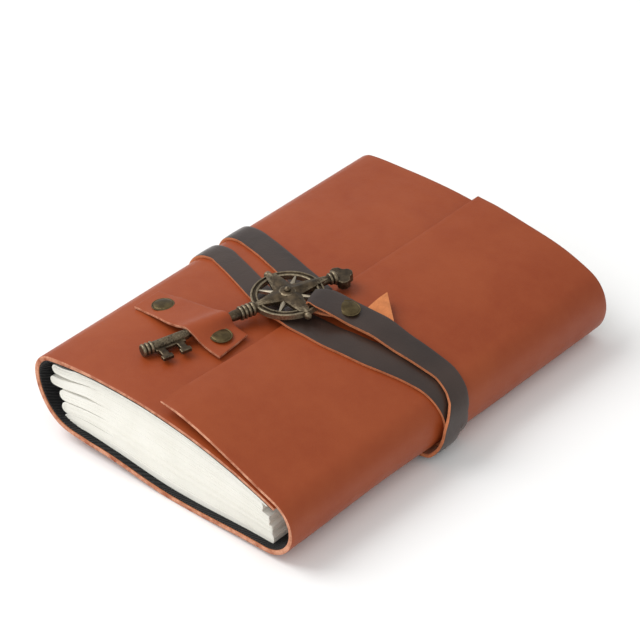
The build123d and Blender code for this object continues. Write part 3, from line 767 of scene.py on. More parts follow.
def strap_stops(outline):
    """Stations of the strap: its two turns up to the fore edge, and its end on from there."""
    strap = bpy.context.scene.diary_strap
    key = bpy.context.scene.diary_key
    flap_edge = FLAP_EDGE / MM
    spine_x = outline.spine[0] / MM
    nose_turn = math.degrees(outline.nose_turn)
    second_ply = strap.seat + strap.thickness + strap.ply_gap
    third_ply = strap.tail_lift + strap.thickness + strap.ply_gap
    wide = strap.width
    spine_width = strap.spine_width
    second_width = strap.second_width
    nose_width = strap.nose_width

    def station(point, y, width, lift=strap.seat, face=1.0, skew=0.0, share=1.0):
        """Middle, outward direction, width, skew and share of thickness, over a point of the outline."""
        x, z, out_x, out_z = point
        if out_z < 0:
            lift = min(lift, (z - strap.table_room) / -out_z - strap.thickness)
        reach = lift + strap.thickness / 2
        middle = (x + reach * out_x, y * MM, z + reach * out_z)
        return np.array([*middle, face * out_x, 0.0, face * out_z, width, skew, share])

    def on_cover(x, *settings):
        return station(outline.top(x * MM, outline.cover_crown), *settings)

    def on_flap(x, *settings, **more):
        return station(outline.top(x * MM, outline.flap_crown), *settings, **more)

    def on_spine(turn, *settings):
        return station(outline.spine_fold(math.radians(turn)), *settings)

    def on_belly(turn, *settings):
        return station(outline.belly(math.radians(turn)), *settings)

    def on_table(x, *settings):
        return station(outline.under(x * MM), *settings)

    def on_nose(turn, *settings):
        return station(outline.nose_fold(math.radians(turn)), *settings)

    def between(place, *stops):
        """Stations at these stops, and at as many more between them as the step asks."""
        filled = [stops[0]]
        for first, second in zip(stops, stops[1:]):
            count = math.ceil(abs(second[0] - first[0]) / STOP_STEP)
            for share in np.arange(1, count + 1) / count:
                filled.append(tuple(a + (b - a) * share for a, b in zip(first, second)))
        return [place(*stop) for stop in filled]

    def round_below(top_y, belly_y, nose_y, width):
        """Stations round the spine and under the diary, as far as the fore edge."""
        spine_turn = math.degrees(outline.spine_turn)
        middle_y = (top_y + belly_y) / 2
        belly_x = outline.belly_x / MM
        nose_x = outline.nose[0] / MM
        return [
            *between(on_spine, (spine_turn, top_y, width), (180, middle_y, width)),
            *between(on_belly, (180, middle_y, width), (270, belly_y, width))[1:],
            *between(on_table, (belly_x, belly_y, width), (nose_x, nose_y, width))[1:-1],
        ]

    first_turn = [
        *between(
            on_cover,
            (flap_edge - 3, 0.9, 11.4 * MM),
            (-20, 4.7, 11 * MM),
            (-37, 9.8, spine_width),
            (spine_x + 2, 13.4, spine_width),
        ),
        *round_below(13.8, 15.4, 0.2, spine_width),
        *between(
            on_nose,
            (-90, 0.2, spine_width),
            (-56, 0.0, 11 * MM),
            (0, -1.4, wide),
            (30, -2.2, wide),
            (nose_turn, -3.4, wide),
        ),
        *between(
            on_flap,
            (46, -5.6, wide),
            (30, -12.4, wide),
            (16, -16.5, 12 * MM),
            (flap_edge + 3, -18.4, 11.4 * MM),
            (flap_edge - 2, -18.4, 11 * MM),
        ),
    ]
    parting = (-74, -9.6, second_width)
    second_turn = [
        *between(
            on_cover,
            (flap_edge - 7, -17.0, 11 * MM),
            (-22, -13.0, 9.6 * MM),
            (-40, -6.2, second_width),
            (spine_x + 2, -2.5, second_width),
        ),
        *round_below(-2.3, -3.4, -10.2, second_width),
        *between(on_nose, (-90, -10.2, second_width), parting),
    ]
    rivet_x, rivet_y = (value / MM for value in strap_rivet_place()[:2])
    closing = [
        *between(
            on_nose,
            (*parting, strap.seat),
            (-56, -8.4, second_width, second_ply),
            (-30, -7.0, nose_width, second_ply),
            (0, -5.7, nose_width, second_ply),
            (11, -3.5, nose_width, second_ply),
            (28, -0.3, nose_width, second_ply),
            (44, 1.2, nose_width, second_ply),
            (nose_turn, 2.2, nose_width, second_ply),
        ),
        *between(
            on_flap,
            (46, 1.4, 9.8 * MM, second_ply),
            (rivet_x + 18.5, rivet_y + 2.8, 10.8 * MM, second_ply),
            (rivet_x + 9.5, rivet_y + 1.9, 11.6 * MM, third_ply),
            (rivet_x, rivet_y, 12 * MM, third_ply),
        ),
    ]
    rim_inside = key.wheel_radius - key.rim_width
    loop_height = (key.wheel_radius - key.rim_width / 2) * math.cos(math.pi / 4) * math.sin(key.tilt)
    inner = math.sqrt(rim_inside**2 - (strap.loop_width / 2) ** 2) - strap.loop_room
    clear = key.wheel_thickness / 2 + strap.loop_room
    thin = strap.loop_thickness / strap.thickness
    tail = strap.tail_lift

    def round_rim(across, side, turn, width=strap.loop_width):
        """A station round the wheel's rim, above it (1) or below it (-1)."""
        turn = math.radians(turn)
        bend = strap.loop_thickness - strap.thickness / 2
        reach = across + bend * math.cos(turn)
        height = loop_height + (side * clear + bend * math.sin(turn))
        ahead = Vector((math.cos(strap.loop_turn), math.sin(strap.loop_turn), 0))
        middle = WHEEL_MIDDLE + ahead * reach + Vector((0, 0, height))
        out = ahead * math.cos(turn) + Vector((0, 0, math.sin(turn)))
        return np.array([*middle, *out, width, 0.0, thin])

    closing += [
        round_rim(key.wheel_radius, 1, 90, 11.4 * MM),
        *(round_rim(inner, 1, turn) for turn in (90, 135, 180)),
        *(round_rim(inner, -1, turn) for turn in (180, 225, 270)),
        on_flap(rivet_x - 0.4, rivet_y + 0.5, 10 * MM, tail, face=-1.0, share=thin),
        on_flap(rivet_x + 4.3, rivet_y + 5.3, wide, tail + 0.2 * MM, face=-1.0, share=thin),
        on_flap(rivet_x + 5.2, rivet_y + 12.9, wide, tail + 1.4 * MM, face=-1.0, skew=strap.tail_skew),
    ]
    return np.array(first_turn + second_turn), np.array(closing)


def strap_rivet_place():
    """Middle of the cap that closes the strap's loop."""
    return sum(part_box("strap_rivet_cap"), Vector()) / 2


def smooth_run(stops, step):
    """Stations a step apart on a smooth line through the stops."""
    travel = np.concatenate([[0], np.cumsum(np.linalg.norm(np.diff(stops[:, :3], axis=0), axis=1))])
    slope = np.gradient(stops, travel, axis=0)
    places = np.linspace(0, travel[-1], math.ceil(travel[-1] / step) + 1)
    index = np.clip(np.searchsorted(travel, places, side="right") - 1, 0, len(travel) - 2)
    span = (travel[index + 1] - travel[index])[:, None]
    share = (places - travel[index])[:, None] / span
    return (
        stops[index] * (1 + 2 * share) * (1 - share) ** 2
        + slope[index] * span * share * (1 - share) ** 2
        + stops[index + 1] * share**2 * (3 - 2 * share)
        + slope[index + 1] * span * share**2 * (share - 1)
    )


def strap_frames(run):
    """Middles, width directions, outward directions and widths of a run, then its skews and shares."""
    middle = run[:, :3]
    ahead = np.gradient(middle, axis=0)
    across = np.cross(ahead, run[:, 3:6])
    across /= np.linalg.norm(across, axis=1, keepdims=True)
    out = np.cross(across, ahead)
    out /= np.linalg.norm(out, axis=1, keepdims=True)
    return middle, across, out, run[:, 6:7], run[:, 7:]


def press_under_strap(points, outline):
    """Points of the hide, pressed in wherever the strap would cut through it."""
    strap = bpy.context.scene.diary_strap
    room = 0.06 * MM
    margin = 2.2 * MM
    batch = 2000
    points = np.array(points, dtype=float)
    turns, closing = strap_stops(outline)
    for stops in (turns, closing[:-STRAP_LOOP_STOPS]):
        middle, across, out, width, _ = strap_frames(smooth_run(stops, 2 * MM))
        middle = outline.settle(middle)
        for start in range(0, len(points), batch):
            part = points[start:start + batch]
            apart = part[:, None, :] - middle[None, :, :]
            near = np.argmin((apart**2).sum(axis=2), axis=1)
            apart = apart[np.arange(len(part)), near]
            aside = np.abs((apart * across[near]).sum(axis=1)) - width[near, 0] / 2
            depth = (apart * out[near]).sum(axis=1) + strap.thickness / 2 + room
            beyond = np.abs((apart * np.cross(out, across)[near]).sum(axis=1))
            depth = np.where((depth > 0) & (depth < 1.5 * strap.thickness) & (beyond < margin), depth, 0.0)
            part -= out[near] * (depth * (1 - ease(aside / margin)))[:, None]
    return points


def key_place(key):
    """The key's frame: X along the shaft to the bow, Y across it, its origin in the middle of the wheel."""
    ahead = Vector((
        math.sin(key.turn) * math.cos(key.tilt), math.cos(key.turn) * math.cos(key.tilt), math.sin(key.tilt)
    ))
    side = Vector((-math.cos(key.turn), math.sin(key.turn), 0))
    place = Matrix((ahead, side, ahead.cross(side))).transposed().to_4x4()
    place.translation = WHEEL_MIDDLE + Vector(key.shift)
    return place


# Parts of the key, which lies along X with its wheel's middle at the origin, and of the rivets


def in_mm(*points):
    """Points given in millimetres."""
    return [tuple(value * MM for value in point) for point in points]


def collar(along, radius, width):
    """A rounded collar on a turned profile."""
    turns = np.linspace(-math.pi / 2, math.pi / 2, 7)
    return [(along + width / 2 * math.sin(a), radius - width / 2 * (1 - math.cos(a))) for a in turns]


def key_shaft(key):
    """The shaft, with collars at its tip and beside the wheel."""
    profile = [(-key.tip, 0.0), (-key.tip, 1.2 * MM)]
    for along in (59.2, 57.6, 56.0):
        profile += collar(-along * MM, 2.4 * MM, 1.4 * MM)
    profile += in_mm((-55.2, 1.9), (-42, 1.9))
    profile += [(-40 * MM, key.shaft_radius), (-26 * MM, key.shaft_radius)]
    profile += in_mm((-22.5, 2.0), (-20.6, 2.0))
    for along in (19.6, 18.0, 16.4, 14.8):
        profile += collar(-along * MM, 2.7 * MM, 1.4 * MM)
    profile += in_mm((-13.4, 2.0), (-12.0, 1.4), (-12.0, 0.0))
    return lathe("shaft", profile, 32)


def key_stem(key):
    """The stem between the wheel and the bow, with its two collars."""
    profile = in_mm((12, 0.0), (12, 1.4), (14.5, 1.6))
    profile += [(key.bow - 1.5 * MM, 1.6 * MM)]
    profile += collar(key.bow, 2.3 * MM, 1.2 * MM)
    profile += collar(key.bow + 1.6 * MM, 2.7 * MM, 1.6 * MM)
    profile += [(key.bow + 3.2 * MM, 1.5 * MM), (key.bow + 3.2 * MM, 0.0)]
    return lathe("stem", profile, 32)


def key_wheel(key):
    """The wheel, two rings with a groove between them, and a knob on either side of it."""
    half = key.wheel_thickness / 2
    outer = key.wheel_radius
    inside = outer - key.rim_width
    inner_edge = inside + key.ring_width
    outer_edge = outer - key.ring_width
    crest = 0.25 * MM
    groove = 0.7 * MM
    knob_radius = 1.5 * MM
    knob_reach = 1.1 * MM
    profile = [
        (-half, inside + crest),
        (half - crest, inside),
        (half, inside + crest),
        (half, inner_edge - crest),
        (groove, inner_edge),
        (groove, outer_edge),
        (half, outer_edge + crest),
        (half, outer - crest),
        (half - crest, outer),
        (-half + crest, outer),
        (-half, outer - crest),
    ]
    wheel = lathe("wheel", profile, 72, closed=True)
    wheel.data.transform(UPRIGHT)
    pieces = [wheel]
    ball = [(knob_radius * math.cos(a), knob_radius * math.sin(a)) for a in np.linspace(0, math.pi, 11)]
    for side in (1, -1):
        knob = lathe("knob", ball, 20)
        knob.data.transform(Matrix.Translation((0, side * (outer + knob_reach), 0)))
        pieces.append(knob)
    return pieces


def cast(name, blocks, grain, passes):
    """Melt blocks into one rounded casting."""
    piece = join(name, blocks)
    modify(piece, "REMESH", mode="VOXEL", voxel_size=grain)
    modify(piece, "SMOOTH", factor=0.5, iterations=passes)
    return piece


def key_bow(key):
    """The trefoil bow."""
    collars = 2.4 * MM
    overlap = 0.8 * MM
    middle = key.bow + collars + key.lobe - overlap
    lobes = []
    for ahead, aside in ((1, 0), (0, 1), (0, -1), (0, 0)):
        clear_selection()
        bpy.ops.mesh.primitive_cylinder_add(
            vertices=8,
            radius=key.lobe,
            depth=3.4 * MM,
            location=(middle + ahead * key.lobe, aside * key.lobe, -key.bow_drop),
        )
        bpy.ops.object.transform_apply(location=True, rotation=True, scale=True)
        lobes.append(bpy.context.object)
    return cast("bow", lobes, 0.22 * MM, 4)


def key_bit():
    """The bit: a web along the shaft, and two teeth with wider feet."""
    thick = 1.5 * MM
    drop = 0.6 * MM
    blocks = []
    for x0, x1, y0, y1 in (
        (-55.4, -43.6, -3.1, 0),
        (-54.6, -52.0, -8.4, 0),
        (-47.3, -44.7, -8.4, 0),
        (-55.4, -51.2, -8.4, -6.4),
        (-48.1, -43.9, -8.4, -6.4),
    ):
        clear_selection()
        middle = ((x0 + x1) / 2 * MM, (y0 + y1) / 2 * MM, -drop)
        bpy.ops.mesh.primitive_cube_add(size=1.0, location=middle)
        bpy.ops.transform.resize(value=((x1 - x0) * MM, (y1 - y0) * MM, thick))
        bpy.ops.object.transform_apply(location=True, rotation=True, scale=True)
        blocks.append(bpy.context.object)
    return cast("bit", blocks, 0.2 * MM, 3)


def star(name, points, waist, first, base, thick, ridge):
    """A four-pointed star with blunt tips, its points rising to a ridge along their middles."""
    corners = []
    for order, (reach, tip_half) in enumerate(points):
        turn = first + order * math.pi / 2
        ahead = Vector((math.cos(turn), math.sin(turn), 0))
        side = Vector((-math.sin(turn), math.cos(turn), 0))
        shoulder = ahead * (reach - tip_half)
        corners += [shoulder - side * tip_half, ahead * reach, shoulder + side * tip_half]
        corners.append((ahead + side).normalized() * waist)
    clear_selection()
    bpy.ops.mesh.primitive_circle_add(vertices=len(corners), radius=waist, fill_type="NGON")
    piece = named(bpy.context.object, name)
    set_points(piece, [corner + Vector((0, 0, base)) for corner in corners])
    bpy.ops.object.mode_set(mode="EDIT")
    bpy.ops.mesh.select_mode(type="FACE")
    bpy.ops.mesh.select_all(action="SELECT")
    bpy.ops.mesh.extrude_region_move(TRANSFORM_OT_translate={"value": (0, 0, thick)})
    bpy.ops.mesh.poke(offset=ridge)
    bpy.ops.mesh.select_all(action="SELECT")
    bpy.ops.mesh.normals_make_consistent(inside=False)
    bpy.ops.mesh.quads_convert_to_tris()
    bpy.ops.mesh.subdivide(number_cuts=5)
    bpy.ops.object.mode_set(mode="OBJECT")
    return piece


def compass_rose(key, bronze, rubbed):
    """The rose: four broad points over four thin rays."""
    outer = key.wheel_radius
    axis_tip = 1.1 * MM
    cross = (outer + 0.7 * MM, 2.1 * MM)
    points = ((key.bow - 0.6 * MM, axis_tip), cross, (outer - 0.2 * MM, axis_tip), cross)
    broad = star("broad_points", points, 5.2 * MM, 0.0, 0.1 * MM, 1.3 * MM, 1.2 * MM)
    paint(broad, bronze)
    thin = 4 * [(outer - key.rim_width + 0.3 * MM, 0.3 * MM)]
    rays = star("thin_rays", thin, 2.0 * MM, math.pi / 4, -0.4 * MM, 1.2 * MM, 0.9 * MM)
    paint(rays, rubbed)
    return join("rose_star", [broad, rays])


def rose_button():
    """The button in the middle of the rose, with a ball on it."""
    ball = 1.2 * MM
    profile = in_mm((1.4, 3.2), (2.1, 3.1), (2.4, 2.6), (2.4, 1.2))
    turns = np.linspace(0, math.pi / 2, 7)
    profile += [(2.7 * MM + ball * math.sin(a), ball * math.cos(a)) for a in turns]
    button = lathe("rose_button", profile, 36)
    button.data.transform(UPRIGHT)
    return button


def cap_profile(rivets):
    """A cap's rolled rim, and the low dome inside it."""
    radius = rivets.cap / 2
    foot = 0.15 * MM
    wall = 0.4 * MM
    lip = 0.12 * MM
    rim_width = 0.5 * MM
    groove = 0.1 * MM
    profile = [(0.0, 0.0), (0.0, radius - foot), (foot, radius), (wall, radius)]
    profile += [(rivets.rim, radius - lip), (rivets.rim, radius - rim_width)]
    for turn in np.linspace(0, 1, 9) * math.pi / 2:
        height = rivets.rim - groove + (rivets.height - rivets.rim) * math.sin(turn)
        profile.append((height, (radius - rim_width - groove) * math.cos(turn)))
    return profile


# Operators


class DIARY_OT_hide(bpy.types.Operator):
    """Make the hide in two pieces, which meet under the diary"""

    bl_idname = "diary.hide"
    bl_label = "Hide"

    def execute(self, context):
        hide = context.scene.diary_hide
        outline = Outline()
        finishes = tan_leather("hide", hide, 11 * MM)
        cover_path = outline.cover_path(SEAM, COVER_EDGE + hide.cover_reach)
        flap_path = outline.flap_path(SEAM, FLAP_EDGE)

        def place(path, side, curl):
            def form(u, v):
                at = along_path(path, u)
                y = side * HIDE_END * rows_at(v)
                points = np.stack([at[:, 0], y, at[:, 1]], axis=-1)
                return outline.settle(points + curl(points))
            return form

        def no_curl(_):
            return 0.0

        def corner_curl(points):
            x, y, z = points.T
            reach = rise(x, outline.nose[0], FLAP_EDGE) * (z > 2 * outline.nose_radius)
            near = rise(-y / HIDE_END, 0.35, 1.0)
            far = rise(y / HIDE_END, 0.45, 1.0)
            lift = reach * (hide.corner_lift * near + hide.far_lift * far) - outline.pared(x, z)
            corner = reach * near
            return np.stack([hide.corner_pull * corner, hide.corner_short * corner, lift], axis=-1)

        def on_seam(point):
            return abs(point[0] - SEAM) < 0.2 * MM

        flap_depth = outline.thickness(flap_path) - outline.pared(flap_path[:, 0], flap_path[:, 1])
        for name, path, side, curl, depth in (
            ("cover_hide", cover_path, 1, no_curl, outline.thickness(cover_path)),
            ("flap_hide", flap_path, -1, corner_curl, flap_depth),
        ):
            piece = sheet(name, len(path) - 1, len(ROWS) - 1, place(path, side, curl))
            paint(piece, *finishes)
            vary(piece, depth / hide.thickness)
            thicken(piece, hide.thickness, hide.edge_bevel, on_seam)
            set_points(piece, press_under_strap(points_of(piece), outline))
        cover = bpy.data.objects["cover_hide"]
        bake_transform(cover)
        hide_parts("back_cover", "front_cover")
        flap = bpy.data.objects["flap_hide"]
        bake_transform(flap)
        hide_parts("flap")
        return {"FINISHED"}


class DIARY_OT_lining(bpy.types.Operator):
    """Make the twill lining of both covers and the spine"""

    bl_idname = "diary.lining"
    bl_label = "Lining"

    def execute(self, context):
        hide = context.scene.diary_hide
        lining = context.scene.diary_lining
        outline = Outline()
        paths = {
            "spine_lining": outline.cover_path(SEAM, COVER_EDGE + hide.cover_reach - lining.inset),
            "fore_lining": np.vstack([
                outline.nose_fold(np.linspace(-lining.reach, -math.pi / 2, 14)[:-1]),
                outline.under(np.linspace(outline.nose[0], SEAM, 14)),
            ]),
        }
        glue = 0.02 * MM
        twill = twill_finish(lining, path_length(paths["spine_lining"]), 2 * HIDE_END)
        for name, path in paths.items():
            depth = outline.thickness(path) + glue
            inside = path[:, :2] - depth[:, None] * path[:, 2:]

            def form(u, v):
                at = along_path(inside, u)
                y = (HIDE_END - lining.inset) * (2 * v - 1)
                return outline.settle(np.stack([at[:, 0], y, at[:, 1]], axis=-1))

            piece = sheet(name, len(path) - 1, 60, form)
            paint(piece, twill)
            solidify(piece, lining.thickness)
            smooth(piece)
        lined = bpy.data.objects["spine_lining"]
        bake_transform(lined)
        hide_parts("back_lining", "front_lining")
        fore = bpy.data.objects["fore_lining"]
        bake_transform(fore)
        return {"FINISHED"}


class DIARY_OT_pages(bpy.types.Operator):
    """Make each section of paper from nested folded sheets, and finish the sewing thread"""

    bl_idname = "diary.pages"
    bl_label = "Pages"

    def execute(self, context):
        pages = context.scene.diary_pages
        hide = context.scene.diary_hide
        lining = context.scene.diary_lining
        outline = Outline()
        paper = paper_finish(pages)
        chance = np.random.default_rng(SEED)
        sections = sorted(name for name in frame["nodes"] if name.startswith("signature_"))
        floor = hide.thickness + lining.thickness + pages.gap
        ceiling = outline.cover_crown - hide.thin - lining.thickness - pages.room
        # A sheet's share of the room that it has, and the unevenness that shows at the head and tail
        snug = 0.97
        sheet_share = 0.3
        section_share = 0.4
        # Each section's back (place across, height, half thickness) and its fore edge, from the lowest up
        backs = (
            (-50.8, 6.4, 2.4, 51.2),
            (-51.8, 11.3, 2.4, 50.6),
            (-52.6, 16.6, 2.3, 49.4),
            (-57.0, 21.2, 1.8, 46.2),
            (-55.6, 26.8, 1.9, 48.4),
        )
        for order, (name, back) in enumerate(zip(sections, backs)):
            page_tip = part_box(name)[1].y + pages.near_reach
            back_x, back_z, back_half, edge_x = (value * MM for value in back)
            fold_x = back_x + back_half
            x = fold_x + (edge_x - fold_x) * np.linspace(0, 1, 26) ** 1.6
            stack = (outline.height(x, ceiling) - floor) / len(sections)
            swing = ease((x - fold_x) / pages.taper)
            middle = back_z * (1 - swing) + (floor + (order + 0.5) * stack) * swing
            full = ease((x - fold_x) / pages.swell)
            half = back_half * (1 - full) + (stack - pages.gap) / 2 * full
            turns = np.linspace(-math.pi / 2, math.pi / 2, 9)[1:-1]
            shift = chance.uniform(-1, 1) * pages.unevenness
            layers = []
            for layer in range(pages.sheets):
                share = 1 - layer / pages.sheets
                shorter = np.abs(chance.uniform(-1, 1, 2)) * pages.unevenness
                long = (edge_x - shorter[0] - fold_x) / (edge_x - fold_x)
                reach = fold_x + (x - fold_x) * long
                path = np.vstack([
                    np.stack([reach, middle - share * half, half], axis=-1)[::-1],
                    np.stack([
                        fold_x - share * back_half * np.cos(turns),
                        back_z + share * back_half * np.sin(turns),
                        0 * turns + back_half,
                    ], axis=-1),
                    np.stack([reach, middle + share * half, half], axis=-1),
                ])
                page_end = page_tip - shorter[1] * sheet_share + shift * section_share

                def form(u, v):
                    at = along_path(path, u)
                    return outline.settle(np.stack([at[:, 0], page_end * (2 * v - 1), at[:, 1]], axis=-1))

                leaf = sheet(f"{name}_sheet_{layer}", len(path) - 1, 10, form)
                widest = path[:, 2].max()
                vary(leaf, path[:, 2] / widest)
                solidify(leaf, snug * widest / pages.sheets)
                layers.append(leaf)
            piece = join(f"{name}_leaves", layers)
            paint(piece, paper)
            smooth(piece, 50)
            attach(piece, "book" if order == 0 else name)
            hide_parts(name)
        thread = frame["nodes"]["sewing_threads"]
        thread.data.materials.clear()
        paint(thread, thread_finish())
        return {"FINISHED"}


class DIARY_OT_strap(bpy.types.Operator):
    """Make the wound strap, and its end that is looped through the wheel"""

    bl_idname = "diary.strap"
    bl_label = "Strap"

    def execute(self, context):
        strap = context.scene.diary_strap
        outline = Outline()
        finishes = (
            grain_finish("strap_grain", strap.body, strap.deep, strap.body, 0.33, 5 * MM, 0.5),
            raw_edge_finish("strap_raw_edge", strap.raw, darker(strap.raw, 0.7)),
            flesh_finish("strap_flesh", strap.flesh, 2.4 * MM),
        )
        for name, stops in zip(("strap_turns", "strap_end"), strap_stops(outline)):
            run = smooth_run(stops, 1.2 * MM)
            frames = np.hstack(strap_frames(run))

            def form(u, v):
                at = along_path(frames, u)
                middle, across, out, width, skew, _ = np.split(at, [3, 6, 9, 10, 11], axis=1)
                side = (0.5 - v)[:, None]
                lift = strap.thickness / 2 - strap.camber * (2 * side) ** 2
                slant = np.cross(out, across) * 2 * side * skew
                return outline.settle(middle + across * side * width + slant + out * lift)

            piece = sheet(name, len(run) - 1, 8, form)
            paint(piece, *finishes)
            vary(piece, frames[:, 11])
            thicken(piece, strap.thickness, NARROW_BEVEL)
        turns = bpy.data.objects["strap_turns"]
        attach(turns, "front_cover")
        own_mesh(turns)
        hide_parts("wrap_strap")
        end = bpy.data.objects["strap_end"]
        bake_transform(end)
        return {"FINISHED"}


class DIARY_OT_keeper(bpy.types.Operator):
    """Make the strip that holds the key's shaft"""

    bl_idname = "diary.keeper"
    bl_label = "Key keeper"

    def execute(self, context):
        hide = context.scene.diary_hide
        keeper = context.scene.diary_keeper
        key = context.scene.diary_key
        rivets = context.scene.diary_rivets
        outline = Outline()
        low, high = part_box("key_keeper")
        caps_low, caps_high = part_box("keeper_rivet_caps")
        first_rivet = caps_low.x + rivets.cap / 2
        second_rivet = caps_high.x - rivets.cap / 2
        place = key_place(key)
        middle_y = (low.y + high.y) / 2
        half = (high.y - low.y) / 2
        aside = 0.6 * MM
        lean = 1.4 * MM
        flare = 0.4 * MM
        rows = 12

        def row_y(x, side):
            """Place along the spine at this share of the strip's width, which leans towards the tail end."""
            share = (x - low.x) / (high.x - low.x)
            centre = middle_y - aside - lean * share
            drawn_in = keeper.drawn_in * (1 - side) * (1 - rise(x, low.x, low.x + 22 * MM))
            return centre + (half + flare * share) * (2 * side - 1) + drawn_in

        def profile(side):
            shaft_x = place.translation.x
            for _ in range(4):
                run = (row_y(shaft_x, side) - place.translation.y) / place.col[0].y
                shaft_x = place.translation.x + run * place.col[0].x
            arch = place.translation.z + run * place.col[0].z + key.shaft_radius + keeper.shaft_room
            # Place across the diary, height above what it lies on, and the shaft's top where it lies on that
            corners = [
                (low.x - 0.8 * MM, 0.2 * MM, None),
                (first_rivet - 2.0 * MM, 0.3 * MM, None),
                (first_rivet + 4.0 * MM, 1.4 * MM, None),
                (shaft_x - 6.0 * MM, -1.7 * MM, arch),
                (shaft_x - 1.2 * MM, 0.1 * MM, arch),
                (shaft_x + 1.2 * MM, -0.4 * MM, arch),
                (second_rivet - 2.8 * MM, 1.7 * MM, None),
                (second_rivet + 1.5 * MM, 0.9 * MM, None),
                (high.x - 0.2 * MM - keeper.slant * side, 0.9 * MM, None),
            ]
            line = np.array([
                (x, lift + (outline.height(x, outline.cover_crown) + keeper.seat if z is None else z))
                for x, lift, z in corners
            ])
            travel = np.concatenate([[0], np.cumsum(np.linalg.norm(np.diff(line, axis=0), axis=1))])
            places = np.linspace(0, travel[-1], 400)
            fine = np.stack([np.interp(places, travel, column) for column in line.T], axis=-1)
            reach = int(keeper.softness / (places[1] - places[0]))
            kernel = np.hanning(2 * reach + 3)
            padded = np.pad(fine, ((reach + 1, reach + 1), (0, 0)), mode="reflect", reflect_type="odd")
            kernel /= kernel.sum()
            return np.stack([np.convolve(column, kernel, mode="valid") for column in padded.T], axis=-1)

        def form(u, v):
            points = []
            for share, side in zip(u, v):
                line = profiles[round(side * rows)]
                x, z = line[round(share * (len(line) - 1))]
                points.append((x, row_y(x, side), z + keeper.thickness))
            return outline.settle(points)

        profiles = [profile(row / rows) for row in range(rows + 1)]
        piece = sheet("keeper_strip", 70, rows, form)
        paint(piece, *tan_leather("keeper", hide, 6 * MM))
        thicken(piece, keeper.thickness, NARROW_BEVEL)
        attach(piece, "front_cover")
        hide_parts("key_keeper")
        return {"FINISHED"}


class DIARY_OT_rivets(bpy.types.Operator):
    """Make the domed caps, and finish the posts behind them"""

    bl_idname = "diary.rivets"
    bl_label = "Rivets"

    def execute(self, context):
        rivets = context.scene.diary_rivets
        keeper = context.scene.diary_keeper
        outline = Outline()
        bronze = bronze_finish("rivet_bronze", rivets.body, rivets.deep, rivets.body, 0.8 * MM)
        radius = rivets.cap / 2

        def cap(name, x, y, z, body, *nodes):
            piece = lathe(name, cap_profile(rivets), 48)
            out = Vector((x - outline.crown_x, 0, z - outline.crown_z)).normalized()
            place = out.to_track_quat("X", "Y").to_matrix().to_4x4()
            foot = Vector((x, y, z)) - out * rivets.height / 2
            put(piece, Matrix.Translation(Vector(outline.settle([foot])[0])) @ place)
            paint(piece, bronze)
            smooth(piece, 50)
            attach(piece, body)
            if nodes:
                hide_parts(*nodes)

        low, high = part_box("keeper_rivet_caps")
        y = (low.y + high.y) / 2
        for name, x, aside, lift, nodes in (
            ("keeper_cap_left", low.x + radius + 1.2 * MM, -0.4 * MM, 0.9 * MM, ["keeper_rivet_caps"]),
            ("keeper_cap_right", high.x - radius - 1.4 * MM, -1.7 * MM, 1.45 * MM, []),
        ):
            seat = outline.height(x, outline.cover_crown) + keeper.seat + keeper.thickness + lift
            cap(name, x, y + aside, seat + rivets.height / 2, "front_cover", *nodes)
        nearer = Vector((-2.6 * MM, -0.5 * MM, 0.5 * MM))
        cap("strap_cap", *(strap_rivet_place() + nearer), "key", "strap_rivet_cap")
        for name in ("keeper_rivet_posts", "strap_rivet_post", "strap_anchor_rivet"):
            node = frame["nodes"][name]
            node.data.materials.clear()
            paint(node, bronze)
        return {"FINISHED"}


class DIARY_OT_key(bpy.types.Operator):
    """Make the key: shaft and bit, wheel, compass rose, boss and bow"""

    bl_idname = "diary.key"
    bl_label = "Key"

    def execute(self, context):
        key = context.scene.diary_key
        speck = 0.7 * MM
        # antique_bronze lightens sharp edges and the boss's ball: partly rubbed wear, partly a painted
        # highlight.
        bronze = bronze_finish("antique_bronze", key.body, key.deep, key.worn, speck)
        rubbed = bronze_finish("rubbed_bronze", key.bright, key.worn, key.bright, speck)
        place = key_place(key)
        parts = [key_shaft(key), key_stem(key), *key_wheel(key), key_bow(key), key_bit()]
        for piece, node in (
            (join("key_body", parts), "key_casting"),
            (compass_rose(key, bronze, rubbed), "compass_rose"),
            (rose_button(), "rose_boss"),
        ):
            put(piece, place)
            if not piece.data.materials:
                paint(piece, bronze)
            smooth(piece, 35)
            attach(piece, "key")
            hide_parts(node)
        return {"FINISHED"}


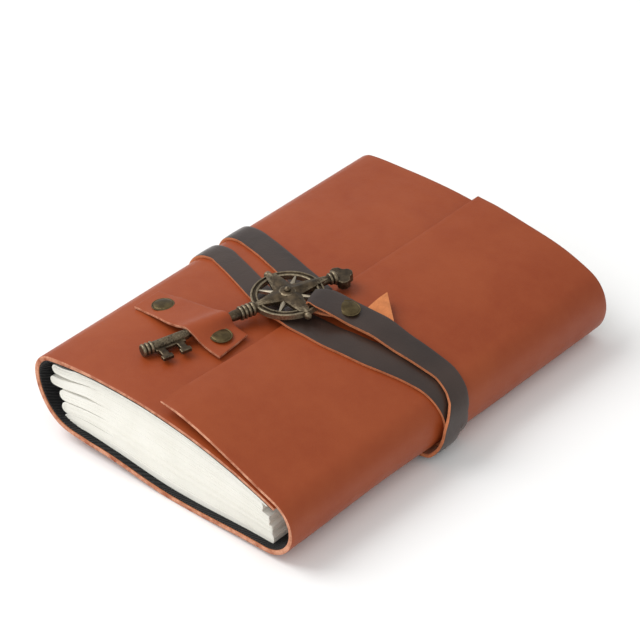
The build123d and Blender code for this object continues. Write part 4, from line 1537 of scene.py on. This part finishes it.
class DIARY_OT_stage(bpy.types.Operator):
    """Set the floor, the light and the camera"""

    bl_idname = "diary.stage"
    bl_label = "Stage"

    def execute(self, context):
        stage = context.scene.diary_stage
        scene = context.scene
        scene.view_settings.view_transform = "Standard"
        clear_selection()
        bpy.ops.mesh.primitive_plane_add(size=6.0, location=(0, 0, -0.2 * MM))
        floor = named(bpy.context.object, "studio_floor")
        finish = Finish("studio_floor")
        paint(floor, finish.done(Base_Color=stage.floor, Roughness=0.9, Specular_IOR_Level=0.1))
        world = bpy.data.worlds.new("studio_sky")
        world.use_nodes = True
        scene.world = world
        back = world.node_tree.nodes["Background"]
        back.inputs["Color"].default_value = (1, 1, 1, 1)
        back.inputs["Strength"].default_value = stage.sky
        for name, watts, size, place in (
            ("key_lamp", stage.key_light, 0.9, (-0.75, -0.35, 0.95)),
            ("fill_lamp", stage.fill_light, 0.8, (0.5, -0.9, 0.7)),
        ):
            clear_selection()
            bpy.ops.object.light_add(type="AREA", location=place)
            lamp = bpy.context.object
            lamp.name = name
            lamp.data.energy = watts
            lamp.data.size = size
            lamp.rotation_euler = (-Vector(place)).to_track_quat("-Z", "Y").to_euler()
        bpy.ops.object.camera_add(location=stage.camera_place, rotation=stage.camera_turn)
        camera = bpy.context.object
        camera.data.lens = stage.lens
        camera.data.sensor_width = 36.0
        scene.camera = camera
        return {"FINISHED"}


OPERATORS = (
    DIARY_OT_hide,
    DIARY_OT_lining,
    DIARY_OT_pages,
    DIARY_OT_strap,
    DIARY_OT_keeper,
    DIARY_OT_rivets,
    DIARY_OT_key,
    DIARY_OT_stage,
)


class DIARY_PT_pieces(bpy.types.Panel):
    """Lists the diary's pieces and their settings"""

    bl_idname = "DIARY_PT_pieces"
    bl_label = "Diary"
    bl_space_type = "VIEW_3D"
    bl_region_type = "UI"
    bl_category = "Diary"

    def draw(self, context):
        for operator in OPERATORS:
            self.layout.operator(operator.bl_idname)
        for name, settings in SETTINGS.items():
            box = self.layout.box()
            box.label(text=name)
            for key in settings.__annotations__:
                box.prop(getattr(context.scene, name), key)


def register():
    for name, settings in SETTINGS.items():
        bpy.utils.register_class(settings)
        setattr(bpy.types.Scene, name, PointerProperty(type=settings))
    for operator in (*OPERATORS, DIARY_PT_pieces):
        bpy.utils.register_class(operator)


def unregister():
    for operator in reversed((*OPERATORS, DIARY_PT_pieces)):
        bpy.utils.unregister_class(operator)
    for name, settings in reversed(SETTINGS.items()):
        delattr(bpy.types.Scene, name)
        bpy.utils.unregister_class(settings)


def main():
    register()
    bpy.ops.diary.hide()
    bpy.ops.diary.lining()
    bpy.ops.diary.pages()
    bpy.ops.diary.strap()
    bpy.ops.diary.keeper()
    bpy.ops.diary.rivets()
    bpy.ops.diary.key()
    bpy.ops.diary.stage()


if __name__ == "__main__":
    main()
